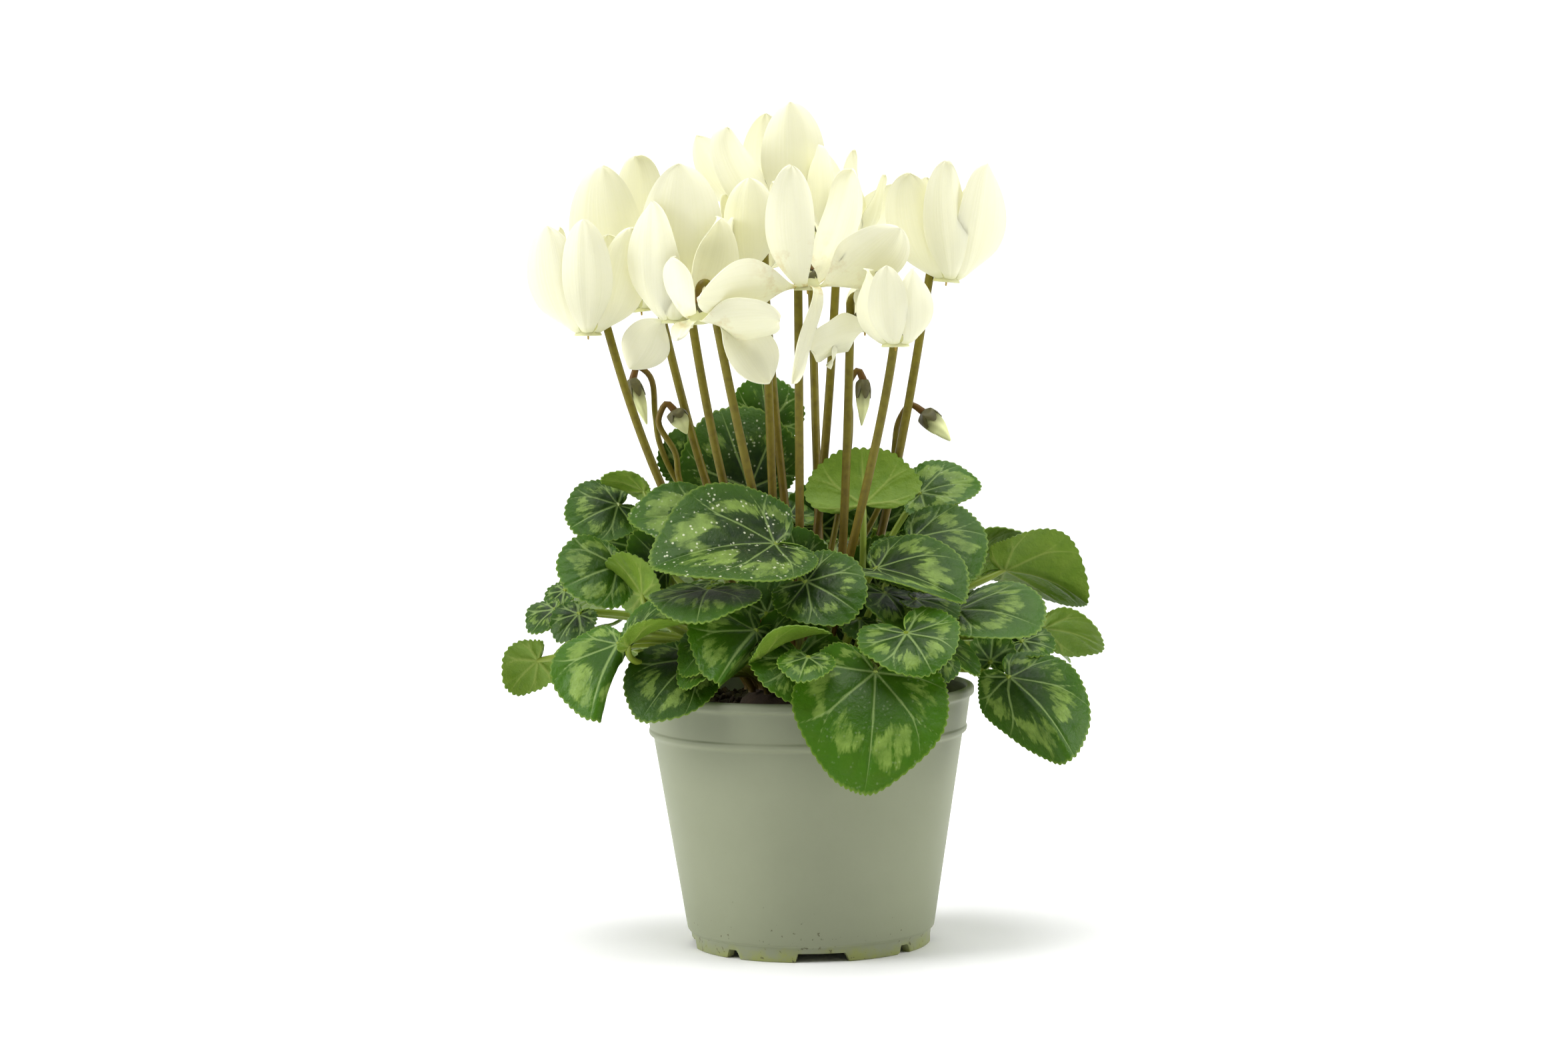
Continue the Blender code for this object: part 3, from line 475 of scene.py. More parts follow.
def crumbs(count, seed, smallest, largest):
    """Crumbs as one shape: a ball of 12 points, stretched, turned about three axes and set on the surface."""
    random = np.random.default_rng(seed)
    golden = (1 + math.sqrt(5)) / 2
    ball = unit([(-1, golden, 0), (1, golden, 0), (-1, -golden, 0), (1, -golden, 0), (0, -1, golden),
                 (0, 1, golden), (0, -1, -golden), (0, 1, -golden), (golden, 0, -1), (golden, 0, 1),
                 (-golden, 0, -1), (-golden, 0, 1)])
    face = np.array([(0, 11, 5), (0, 5, 1), (0, 1, 7), (0, 7, 10), (0, 10, 11), (1, 5, 9), (5, 11, 4),
                     (11, 10, 2), (10, 7, 6), (7, 1, 8), (3, 9, 4), (3, 4, 2), (3, 2, 6), (3, 6, 8),
                     (3, 8, 9), (4, 9, 5), (2, 4, 11), (6, 2, 10), (8, 6, 7), (9, 8, 1)])
    size = random.uniform(smallest, largest, (count, 1, 1)) * random.uniform(0.5, 1.2, (count, 1, 3))
    places = ball * size * random.uniform(0.75, 1.15, (count, 12, 1))
    for axis in range(3):
        angle = random.uniform(0, 2 * math.pi, (count, 1))
        first, second = (axis + 1) % 3, (axis + 2) % 3
        one, two = places[..., first].copy(), places[..., second].copy()
        places[..., first] = one * np.cos(angle) - two * np.sin(angle)
        places[..., second] = one * np.sin(angle) + two * np.cos(angle)
    out = np.sqrt(random.uniform(0.16, 0.93, count)) * CRUMB_CIRCLE
    bearing = random.uniform(0, 2 * math.pi, count)
    rise = SOIL_TOP + 0.7 + random.uniform(-0.3, 0.5, count)
    places += np.stack([out * np.cos(bearing), out * np.sin(bearing), rise], -1)[:, None]
    faces = (face[None] + 12 * np.arange(count)[:, None, None]).reshape(-1, 3)
    tint = np.repeat(random.uniform(0, 1, (count, 3)), 12, axis=0)
    return Shape(places.reshape(-1, 3), [faces], {"crumb": tint}, 0)


print("crumbs lie within", CRUMB_CIRCLE, "mm of the axis")

# %% [markdown]
# The compost is milled peat, watered and beginning to dry. Wet peat is nearly black and dry peat is brown,
# so a noise of 2.4 mm, the size of its crumbs, runs between the two, with moss in patches of 17 mm. It has
# no gloss, and the same noise raises a strong bump, which makes it look crumbly. Each loose crumb has a
# tint of its own, carried by its points.

# %% Damp peat
peat, shader, where = new_material("damp_peat_compost")
speck = add_node(peat, "TexNoise", {"Vector": where, "Scale": 420.0, "Detail": 8.0, "Roughness": 0.7})
brown = add_node(peat, "Mix", {0: speck, 6: "#120c07", 7: "#4a3a26"}, 2, data_type="RGBA")
moss = add_node(peat, "TexNoise", {"Vector": where, "Scale": 60.0, "Detail": 4.0})
brown = coat(peat, brown, "#3d4219", moss, 0.56, 0.66, 0.0, 0.6)
brown = coat(peat, brown, "#8a7350", carried(peat, "crumb")[0], 0.75, 1.0, 0.0, 0.45)
crumbly = add_node(peat, "Bump", {"Strength": 0.8, "Distance": 0.0006, "Height": speck})
fill(peat, shader, {"Base Color": brown, "Normal": crumbly, "Roughness": 0.92})
compost = build("compost", [compost_shape()], [peat], replaced="potting_soil")
loose = build(
    "compost_crumbs", [crumbs(520, 7, 0.5, 1.5), crumbs(60, 8, 1.4, 2.4)], [peat])
print("compost faces:", len(compost.data.polygons), "crumb faces:", len(loose.data.polygons))

# %% [markdown]
# A cyclamen's tuber is a flattened corky ball. It sits half out of the compost, and old stems leave scars
# on its top. A turned outline pushed about by noise gives its lumps.

# %% Tuber


def tuber_shape(sides=96, rings=40):
    """The tuber: r = R cos a, z = centre + h sin a, with 3.5 % noise on both and the poles closed by lids."""
    angle = np.linspace(math.pi / 2 - 0.03, -math.pi / 2 + 0.03, rings)[:, None]
    bearing = np.linspace(0, 2 * math.pi, sides, endpoint=False)[None]
    way = np.stack([np.cos(angle) * np.cos(bearing), np.cos(angle) * np.sin(bearing),
                    np.sin(angle) * np.ones_like(bearing)], -1)
    lump = 1 - 0.035 + 0.035 * ripples(way, 11, 3.0, 4)
    radius = TUBER_RADIUS * np.cos(angle) * lump
    return turned(radius, TUBER_CENTRE + TUBER_HALF_HEIGHT * np.sin(angle) * lump, closed=False)


print("tuber", 2 * TUBER_RADIUS, "mm across")

# %% [markdown]
# The tuber's skin is cork, which is dull and cracks as the tuber swells. One noise of 4 mm drives both its
# colour and its relief, so the cracks are darker than the plates between them.

# %% Corky skin
cork, shader, where = new_material("corky_tuber_skin")
scar = add_node(cork, "TexNoise", {"Vector": where, "Scale": 260.0, "Detail": 7.0, "Roughness": 0.65})
bark = add_node(cork, "Mix", {0: scar, 6: "#1a120b", 7: "#4c3826"}, 2, data_type="RGBA")
cracked = add_node(cork, "Bump", {"Strength": 0.7, "Distance": 0.0008, "Height": scar})
fill(cork, shader, {"Base Color": bark, "Normal": cracked, "Roughness": 0.88})
tuber = build("corky_tuber", [tuber_shape()], [cork], replaced="tuber")
print("tuber top, mm:", round(max(vertex.co.z for vertex in tuber.data.vertices) / MM, 1))

# %% [markdown]
# Every stem starts on the tuber's crown, in rings, as on the real plant, where new leaves come from the
# middle. The starting points are spread evenly round each ring and taken in the order of where the stems
# go, so that no two cross.

# %% Where stems start
PETIOLE_RADIUS, STALK_RADIUS, BUD_STEM_RADIUS = 1.2, 1.55, 1.1
INNER_RING, STALK_RING, UPPER_RING, LOWER_RING = 4.5, 10.0, 16.0, 21.5
STEM_FOOT = np.array((0.0, 0.0, 1.5))

Leaf = namedtuple("Leaf", "joint tip face width back left right taper ring bow notch silver specks wave tone",
                  defaults=(1.0, 0.45, 0, 0, 0.2, UPPER_RING, (0, 0, 0), 0.2, 1.0, 0.0, 0.03, 0.0))
# joint: where the petiole meets the blade; tip: the blade's point; face: the way its upper side looks;
# width: breadth against that of a round blade; back: how far the lobes reach behind the joint, as a share
# of its distance to the tip; left, right: folding of each half about the midrib in degrees; taper: how much
# narrower than an oval towards the tip; bow: sideways push on the middle of the petiole; notch: half angle
# in radians of the gap that the lobes leave behind the joint; silver: how much silver marking it has;
# specks: how much hard-water dust lies on it; wave: waviness of its margin; tone: how much lighter than
# usual its green is
LEAVES = {
    "leaf_01": Leaf((-20, 24, 163), (-31, 32, 192), (-0.1, -0.9, 0.4), 1.1, 0.3, silver=0.6, specks=0.5,
                    tone=-0.6),
    "leaf_02": Leaf((-13, 44, 185), (-15, 50, 204), (0.1, -0.9, 0.4), silver=0.3, specks=0.4),
    "leaf_03": Leaf((-30, -25, 154), (-62, -29, 157), (-0.1, -0.7, 0.7), 0.75, 0.2, silver=1.5, specks=0.4),
    "leaf_04": Leaf((-11, -38, 147), (-54, -56, 140), (0.0, -0.75, 0.65), 0.86, 0.34, left=8, right=22,
                    taper=0.35, notch=0.35, silver=1.1, specks=1.0, tone=-0.9),
    "leaf_05": Leaf((-68, 18, 158), (-86, 12, 150), (-0.2, -0.8, 0.5), silver=0.8),
    "leaf_06": Leaf((-54, 5, 132), (-60, 9, 158), (0.8, -0.4, 0.3), 0.7, right=60, ring=LOWER_RING),
    "leaf_07": Leaf((-67, -12, 138), (-87, -22, 132), (-0.45, -0.85, 0.25), 1.2, 0.2, bow=(0, -4, 0)),
    "leaf_08": Leaf((-96, -14, 105), (-107, -18, 95), (0.35, 0.6, 0.7), 1.1, ring=LOWER_RING),
    "leaf_09": Leaf((-66, -41, 113), (-76, -53, 88), (-0.45, -0.8, 0.4), 1.15, 0.3, right=-155,
                    ring=LOWER_RING, silver=1.2, tone=0.4),
    "leaf_10": Leaf((-40, -38, 107), (-59, -52, 87), (-0.2, -0.8, 0.6), 0.95, 0.2, ring=LOWER_RING,
                    silver=0.9, tone=-0.5),
    "leaf_11": Leaf((-18, -52, 118), (-33, -64, 102), (-0.15, -0.8, 0.6), 1.2, right=-110, ring=LOWER_RING),
    "leaf_12": Leaf((-34, -46, 132), (-37, -72, 122), (-0.05, -0.35, 0.95), 1.1, 0.3, silver=0.8, tone=-0.5),
    "leaf_13": Leaf((23, -63, 104), (16, -77, 63), (0.0, -0.95, 0.3), 1.0, 0.3, taper=0.5, ring=LOWER_RING,
                    notch=0.45, silver=0.9, specks=0.1, tone=0.7),
    "leaf_14": Leaf((34, -60, 117), (42, -73, 104), (0.05, -0.75, 0.65), 1.05, 0.75, ring=LOWER_RING),
    "leaf_15": Leaf((0, -45, 134), (19, -55, 124), (0.0, -0.8, 0.55), 0.95, 0.5, silver=0.7, specks=0.1,
                    tone=-1.4),
    "leaf_16": Leaf((25, -27, 137), (56, -44, 126), (0.1, -0.8, 0.6), 0.85, 0.25, left=45),
    "leaf_17": Leaf((38, -9, 146), (59, -24, 131), (0.1, -0.8, 0.6), 1.1, 0.4),
    "leaf_18": Leaf((53, -30, 122), (83, -44, 118), (0.15, -0.6, 0.8), 0.95, 0.15, ring=LOWER_RING),
    "leaf_19": Leaf((85, -6, 113), (106, -12, 106), (0.0, 0.75, 0.65), 1.0, 0.1, ring=LOWER_RING),
    "leaf_20": Leaf((72, 6, 133), (101, 0, 121), (0.1, 0.45, 0.85), 0.9, 0.3, left=60),
    "leaf_21": Leaf((21, -6, 158), (20, 3, 179), (0.0, 0.8, 0.6), 1.0, 1.0, taper=0.0, bow=(0, 12, 0),
                    notch=1.25),
    "leaf_22": Leaf((43, 30, 160), (65, 32, 163), (0.1, -0.6, 0.8), 0.9, silver=1.4, specks=0.2),
    "leaf_23": Leaf((61, 18, 135), (83, 16, 143), (0.0, 0.6, 0.8), 0.9),
    "leaf_24": Leaf((71, -31, 98), (92, -43, 71), (0.45, -0.75, 0.45), 1.0, 0.3, left=-90, ring=LOWER_RING),
    "leaf_25": Leaf((-62, 40, 126), (-88, 54, 114), (-0.5, 0.5, 0.7), 0.95, ring=LOWER_RING),
    "leaf_26": Leaf((-30, 52, 132), (-42, 76, 118), (-0.2, 0.7, 0.7), ring=LOWER_RING),
    "leaf_27": Leaf((10, 50, 144), (12, 76, 134), (0.0, 0.7, 0.7)),
    "leaf_28": Leaf((38, 48, 132), (54, 74, 118), (0.4, 0.6, 0.7), ring=LOWER_RING),
    "leaf_29": Leaf((64, 42, 118), (88, 56, 104), (0.6, 0.4, 0.7), 0.9, ring=LOWER_RING),
}

Flower = namedtuple("Flower", "mouth top hook tips ring bow stain", defaults=(STALK_RING, (0, 0, 0), 0.0))
# mouth: centre of the open end, which looks down; top: the way the corolla tube points from there;
# hook: bearing in degrees of the side on which the stalk passes it; tips: the five petal tips, each with
# the angle in degrees by which its face is turned about its middle line and its breadth against that of a
# plain petal, where they are not 15 and 1; stain: how far the petals' bases have browned with age
FLOWERS = {
    "01": Flower((-76, -10, 220), (0.0, 0.0, 1.0), 30,
                 ((-89, -20, 259, 40, 1.1), (-76, -26, 261, 0, 0.85), (-60, -14, 258, -35), (-87, 8, 259),
                  (-69, 8, 256))),
    "02": Flower((-58, 18, 228), (-0.1, 0.0, 1.0), 0,
                 ((-71, 15, 281, 30, 1.1), (-60, 34, 285), (-46, 34, 268), (-47, 8, 262),
                  (-77, 32, 262))),
    "03": Flower((-45, -14, 224), (0.0, 0.0, 1.0), -30,
                 ((-52, -28, 267, 30), (-42, -24, 280, 0, 1.2), (-24, -10, 261, -40, 1.2), (-45, 8, 268),
                  (-62, -1, 208, 60, 1.4))),
    "04": Flower((-35, -34, 225), (-0.1, -0.3, 1.0), 45,
                 ((-45, -46, 247, 40, 2.0), (-43, -48, 219, 0, 0.8), (-8, -51, 225, -60, 1.4),
                  (-12, -38, 203, 30, 1.3), (-29, -28, 261)), bow=(4, 4, 0), stain=0.8),
    "05": Flower((-17, 2, 241), (0.0, 0.0, 1.0), -45,
                 ((-18, -9, 275, 0, 1.2), (-9, 4, 274), (-30, 5, 257), (-5, 14, 258), (-27, 20, 270))),
    "06": Flower((-10, 24, 261), (0.0, 0.0, 1.0), 150,
                 ((-3, 20, 303, -55, 1.2), (-26, 14, 294, 40, 1.1), (-37, 32, 292), (-12, 42, 300),
                  (7, 40, 288))),
    "07": Flower((2, -34, 235), (0.0, 0.0, 1.0), 125,
                 ((-3, -44, 278, 20, 0.8), (18, -32, 277, -30, 1.1), (34, -42, 256, -60, 1.5),
                  (-36, -53, 233, 60, 1.2), (-4, -48, 203, 0, 0.1)), INNER_RING, stain=0.7),
    "08": Flower((32, -44, 215), (0.0, 0.0, 1.0), 80,
                 ((23, -46, 242, 25, 0.9), (29, -56, 243, 15, 0.9), (38, -53, 242, -25, 0.9),
                  (26, -35, 241), (38, -35, 240)), bow=(-8, 4, 0)),
    "09": Flower((52, 4, 237), (0.1, 0.0, 1.0), 165,
                 ((67, -3, 279, -40, 1.1), (52, -9, 280, 0, 0.75), (39, -5, 276, 35, 1.1), (46, 20, 275),
                  (65, 19, 273)), bow=(0, 6, 0)),
    "10": Flower((16, 20, 252), (0.0, 0.0, 1.0), -110,
                 ((7, 12, 287, 30, 1.1), (19, 12, 285), (30, 14, 276, -30), (36, 32, 273), (11, 40, 279)),
                 INNER_RING),
    "11": Flower((22, -22, 220), (0.0, 0.0, 1.0), 150,
                 ((3, -37, 214, 90, 1.8), (9, -30, 208, 15, 0.7), (21, -32, 235), (34, -12, 240),
                  (22, -4, 238))),
    "12": Flower((3, 56, 252), (0.0, 0.1, 1.0), -80,
                 ((-8, 50, 287), (11, 66, 286), (-20, 62, 268), (18, 50, 272), (1, 75, 280))),
}

Bud = namedtuple("Bud", "route swell ring bow", defaults=(INNER_RING, (0, 0, 0)))
# route: the stem's points after it leaves the crown, the last two being the bud's base and its tip;
# swell: the bud's greatest radius
BUDS = {
    "bud_01": Bud(((33, 13, 178), (35, 13, 188), (39, 12, 193), (44, 11, 190), (53, 8, 180)), 3.6),
    "bud_02": Bud(((-46, 8, 176), (-52, 8, 190), (-49, 8, 195), (-46, 8, 192), (-42, 7, 184)), 3.4,
                  UPPER_RING),
    "bud_03": Bud(((17, 6, 190), (17, 6, 202), (20, 6, 206), (22, 6, 202), (21, 6, 186)), 2.6),
    "bud_04": Bud(((-54, 28, 190), (-57, 28, 206), (-60, 27, 208), (-62, 26, 203), (-57, 24, 187)), 2.8,
                  UPPER_RING, (0, 10, 0)),
}


def crown_height(radius):
    """Height just above the tuber's top at a distance from the axis."""
    inner = radius - PETIOLE_RADIUS
    return TUBER_CENTRE + TUBER_HALF_HEIGHT * math.sqrt(1.0 - (inner / TUBER_RADIUS) ** 2) + GAP


def crown_places(targets):
    """Evenly spaced starting points on the crown's rings, in the order of the targets' bearings.

    targets maps a name to ring radius, x and y. Each ring is turned by the mean difference between the
    bearings and the even steps.
    """
    found = {}
    for ring in sorted({ring for ring, _, _ in targets.values()}):
        bearings = sorted((math.atan2(y, x), name) for name, (own, x, y) in targets.items() if own == ring)
        steps = [2 * math.pi * index / len(bearings) for index in range(len(bearings))]
        turns = [bearing - step for (bearing, _), step in zip(bearings, steps)]
        turn = math.atan2(sum(map(math.sin, turns)), sum(map(math.cos, turns)))
        for (_, name), step in zip(bearings, steps):
            angle = step + turn
            found[name] = np.array((ring * math.cos(angle), ring * math.sin(angle), crown_height(ring)))
    return found


targets = {name: (leaf.ring, *leaf.joint[:2]) for name, leaf in LEAVES.items()}
targets |= {name: (flower.ring, *flower.mouth[:2]) for name, flower in FLOWERS.items()}
targets |= {name: (bud.ring, *bud.route[0][:2]) for name, bud in BUDS.items()}
STARTS = crown_places(targets)
print("stems on the crown:", len(STARTS))

# %% [markdown]
# A cyclamen leaf is round to heart-shaped, thick, and finely toothed. Its outline is easiest seen from the
# joint: at each bearing, how far is the edge? A circle seen from a point inside it gives the oval, a dip
# behind the joint gives the notch, and a fine ripple gives the teeth. The veins run out from the joint as
# well, so the distance to the nearest vein is worked out in the same terms. It presses grooves into the
# blade and is stored for the material.

# %% Leaf blades
VEIN_STEP, TEETH_PER_MM, LOBE_ROUNDING = 0.80, 1.75, 0.6
# the radius of the hinge at the midrib and the height of the arch are shares of the blade's length
HINGE_SHARE, ARCH_SHARE, GROOVE_DEPTH, BLADE_THICKNESS = 0.09, 0.10, 0.45, 0.45
# the silver zone's middle and half depth are shares of the way from the joint to the edge
SILVER_MIDDLE, SILVER_DEPTH = 0.64, 0.20


def leaf_frame(leaf):
    """Length, and the directions along the midrib, across the blade and out of its upper side."""
    joint, tip = np.array(leaf.joint, float), np.array(leaf.tip, float)
    length = np.linalg.norm(tip - joint)
    along = (tip - joint) / length
    face = np.array(leaf.face, float)
    out = unit(face - along * face.dot(along))
    return length, along, np.cross(out, along), out


def veins(bearing, reach, share):
    """Distance in millimetres to the nearest vein.

    Main veins leave the joint every VEIN_STEP. Past 55 % of the way to the edge each forks. A finer pair
    leaves it at 30 %, and another shows past 60 %. With f the bearing from the nearest main vein as a share
    of the step, and g the fork's own share, the distance is |f| - g, times the step and the reach.
    """
    nearest = np.round(bearing / VEIN_STEP)
    off = np.abs(bearing / VEIN_STEP - nearest)
    scale = VEIN_STEP * reach
    fork = np.where(nearest == 0, 0.0, 0.42 * np.maximum(share - 0.55, 0.0))
    main = np.abs(off - fork) * scale
    fine = np.abs(off - 0.55 * np.maximum(share - 0.3, 0.0)) * scale + 0.24 + 0.2 * share
    last = np.abs(off - 0.6 * np.maximum(share - 0.62, 0.0) - 0.13) * scale + np.where(share > 0.6, 0.32, 9.0)
    return np.minimum(np.minimum(main, fine), last), off


def blade(leaf, seed, rows=11):
    """The blade's closed sheet.

    A point at bearing b and share v lies v e(b) from the joint, with e the edge's distance. Each half then
    turns about the midrib along a small hinge, the whole arches between joint and tip, and the margin waves
    by sines of three and five times the bearing.
    """
    length, along, across, out = leaf_frame(leaf)
    joint = np.array(leaf.joint, float)
    random = np.random.default_rng(seed)
    phase, lean = random.uniform(0, 2 * math.pi, 4), random.uniform(-0.06, 0.06)
    offset, radius = 0.5 * (1 - leaf.back) * length, 0.5 * (1 + leaf.back) * length
    teeth = 2 * round(0.5 * TEETH_PER_MM * length * math.sqrt(leaf.width)) + 8
    bearing = np.linspace(1, -1, 4 * teeth + 1)[None] * (math.pi - leaf.notch)
    inner = 0.5 / length
    share = inner + (1.0 - inner) * np.linspace(0.0, 1.0, rows)[:, None] ** 0.8
    edge = offset * np.cos(bearing) + np.sqrt(radius**2 - (offset * np.sin(bearing)) ** 2)
    from_notch = np.clip((math.pi - leaf.notch - np.abs(bearing)) / LOBE_ROUNDING, 0, 1)
    edge = edge * (0.12 + 0.88 * from_notch**0.55)
    edge = edge * (1 + 0.012 * np.sin(5 * bearing + phase[0]) + 0.010 * np.sin(9 * bearing + phase[1]))
    tooth = (1 - np.abs(np.sin(0.5 * teeth * bearing))) * np.clip(edge / (0.3 * length), 0, 1)
    reach = share * edge - 0.9 * tooth * share**12
    ahead, aside = reach * np.cos(bearing), reach * np.sin(bearing) * leaf.width
    aside = aside * (1 - leaf.taper * np.clip(ahead / length, 0, 1) ** 2)
    vein, off = veins(bearing + lean + 0.05 * np.sin(2 * bearing + phase[2]), reach, share)

    hinge = HINGE_SHARE * length
    fold = np.radians(np.where(aside < 0, leaf.left, leaf.right))
    sense, fold = np.where(fold < 0, -1.0, 1.0), np.abs(fold)
    turn = np.minimum(np.abs(aside) / hinge, fold)
    beyond = np.maximum(np.abs(aside) - hinge * fold, 0.0)
    spread = np.sign(aside) * (hinge * np.sin(turn) + beyond * np.cos(fold))
    rise = sense * (hinge * (1 - np.cos(turn)) + beyond * np.sin(fold))
    middle_share = ahead / length
    arch = np.where(middle_share > 0, 4 * middle_share * (1 - middle_share), 2 * middle_share)
    rise = rise + ARCH_SHARE * length * arch
    rise = rise + leaf.wave * length * share**2 * (np.sin(3 * bearing + phase[3]) + 0.5 * np.sin(5 * bearing))
    groove = np.exp(-((vein / 0.9) ** 2)) * np.clip(share * 6, 0, 1) * np.clip((1 - share) * 5, 0, 1)
    rise = rise - GROOVE_DEPTH * groove
    middle = joint + ahead[..., None] * along + spread[..., None] * across + rise[..., None] * out

    centre = SILVER_MIDDLE + 0.05 * np.sin(4 * bearing + phase[1])
    depth = SILVER_DEPTH * (1 + 0.3 * np.sin(7 * bearing + phase[2]))
    patch = 1 - ((share - centre) / depth) ** 2 - 0.7 * ((0.5 - off) / 0.5) ** 2 + (leaf.silver - 1.0)
    marking = np.stack(np.broadcast_arrays(vein, patch, share), -1)
    streak = np.stack(np.broadcast_arrays(7.5 * bearing, 4.0 * share, 3.1 * seed), -1)
    lightness = min(max(random.uniform(0, 1) + leaf.tone, 0.0), 1.4)
    kind = np.broadcast_to(np.array((seed * 1.7, leaf.specks, lightness)), middle.shape)
    traits = {"marking": marking, "kind": kind, "streak": streak}
    return sheet(middle, np.full(middle.shape[:2], BLADE_THICKNESS), traits)


print("one tooth for every", round(1 / TEETH_PER_MM, 2), "mm of a leaf's length")

# %% [markdown]
# The petiole is the leaf stem. It is a thin fleshy rod that grows up from the crown, bends outwards and
# meets the blade from behind. A Bezier curve has just these two ends and two directions, so one curve gives
# it.

# %% Petioles


def petiole(leaf, start):
    """The petiole: a Bezier curve up and outward from the crown, then into the blade from behind."""
    _, along, _, out = leaf_frame(leaf)
    joint = np.array(leaf.joint, float)
    reach = np.linalg.norm(joint - start)
    outward = unit((start[0], start[1], 0.0))
    foot = start + STEM_FOOT
    leave = start + reach * (0.34 * np.array((0.0, 0.0, 1.0)) + 0.16 * outward) + np.array(leaf.bow)
    arrive = joint - 0.30 * reach * unit(0.6 * along + 0.8 * out) + np.array(leaf.bow)
    curve = bezier(foot, leave, arrive, joint + 0.15 * out, 25)
    path = np.concatenate([[start], curve])
    radii = PETIOLE_RADIUS * np.interp(np.linspace(0, 1, len(path)), (0, 0.1, 0.9, 1), (1.15, 1.0, 1.0, 0.72))
    reference = np.cross(outward, (0, 0, 1.0)) + 0.01
    return tube(path, radii, reference, 12, slot=1)


print("petioles", 2 * PETIOLE_RADIUS, "mm thick")

# %% [markdown]
# A cyclamen leaf has a thin waxy skin that shines softly. The upper side is dark green with pale veins, and
# looks silver where air lies under the skin. The marking follows each leaf's own shape, so the shader reads
# the distance to the nearest vein, the silver's place and the share of the way to the edge from the points,
# and noise of 6 mm only tears their outlines.

# %% Leaf skin
leaf_skin, shader, where = new_material("marbled_cyclamen_leaf")
vein, patch, share = carried(leaf_skin, "marking")
_, dust, light = carried(leaf_skin, "kind")
behind = carried(leaf_skin, "side")[0]
streak = add_node(leaf_skin, "Attribute", output=1, attribute_name="streak")
streak = add_node(leaf_skin, "TexNoise", {"Vector": streak, "Scale": 1.0, "Detail": 4.0, "Roughness": 0.6})
mottle = add_node(leaf_skin, "TexNoise", {"Vector": where, "Scale": 160.0, "Detail": 5.0, "Roughness": 0.6})
# the green runs from dark in the middle to fresh near the margin, and no two leaves are quite alike
zone = add_node(leaf_skin, "MapRange", {0: share, 1: 0.35, 2: 0.98, 3: 0.0, 4: 0.62})
zone = add_node(leaf_skin, "Math", {0: light, 1: 0.42, 2: zone}, operation="MULTIPLY_ADD")
upper = add_node(leaf_skin, "Mix", {0: zone, 6: "#122a04", 7: "#3b6605"}, 2, data_type="RGBA")
upper = coat(leaf_skin, upper, "#4f6c18", mottle, 0.40, 0.75, 0.0, 0.32)
# the silver: air under the skin between the veins, feathered along them
torn = add_node(leaf_skin, "MapRange", {0: streak, 1: 0.30, 2: 0.70, 3: -0.95, 4: 0.50})
torn = add_node(leaf_skin, "Math", {0: patch, 1: torn}, operation="ADD")
torn = add_node(leaf_skin, "MapRange", {0: torn, 1: 0.12, 2: 0.60, 3: 0.0, 4: 1.0})
thin = add_node(leaf_skin, "MapRange", {0: mottle, 1: 0.35, 2: 0.62, 3: 0.35, 4: 0.85})
torn = add_node(leaf_skin, "Math", {0: torn, 1: thin}, operation="MULTIPLY")
upper = add_node(leaf_skin, "Mix", {0: torn, 6: upper, 7: "#84a048"}, 2, data_type="RGBA")
# a vein's half width falls from 0.45 mm at the joint to 0.2 mm near the margin
width = add_node(leaf_skin, "MapRange", {0: share, 1: 0.0, 2: 1.0, 3: 0.55, 4: 0.27})
line = add_node(leaf_skin, "Math", {0: vein, 1: width}, operation="DIVIDE")
line = add_node(leaf_skin, "MapRange", {0: line, 1: 0.4, 2: 1.3, 3: 0.68, 4: 0.0})
fading = add_node(leaf_skin, "MapRange", {0: share, 1: 0.72, 2: 0.95, 3: 1.0, 4: 0.35})
line = add_node(leaf_skin, "Math", {0: line, 1: fading}, operation="MULTIPLY")
upper = add_node(leaf_skin, "Mix", {0: line, 6: upper, 7: "#90a962"}, 2, data_type="RGBA")
upper = coat(leaf_skin, upper, "#7f9a3a", share, 0.965, 0.998, 0.0, 0.6)
# dried spots of hard water, a little under 1 mm across
spots = add_node(leaf_skin, "TexVoronoi", {"Vector": where, "Scale": 560.0})
spots = add_node(leaf_skin, "MapRange", {0: spots, 1: 0.30, 2: 0.16, 3: 0.0, 4: 0.8})
sparse = add_node(leaf_skin, "TexNoise", {"Vector": where, "Scale": 260.0, "Detail": 3.0})
sparse = add_node(leaf_skin, "MapRange", {0: sparse, 1: 0.50, 2: 0.58, 3: 0.0, 4: 1.0})
spots = add_node(leaf_skin, "Math", {0: spots, 1: sparse}, operation="MULTIPLY")
spots = add_node(leaf_skin, "Math", {0: spots, 1: dust}, operation="MULTIPLY")
upper = add_node(leaf_skin, "Mix", {0: spots, 6: upper, 7: "#dfe4c4"}, 2, data_type="RGBA")
# the underside has no silver and its veins stand out a little paler
under = add_node(leaf_skin, "Mix", {0: mottle, 6: "#557c1a", 7: "#86a03c"}, 2, data_type="RGBA")
under = add_node(leaf_skin, "Mix", {0: line, 6: under, 7: "#93a64e"}, 2, data_type="RGBA")
whole = add_node(leaf_skin, "Mix", {0: behind, 6: upper, 7: under}, 2, data_type="RGBA")
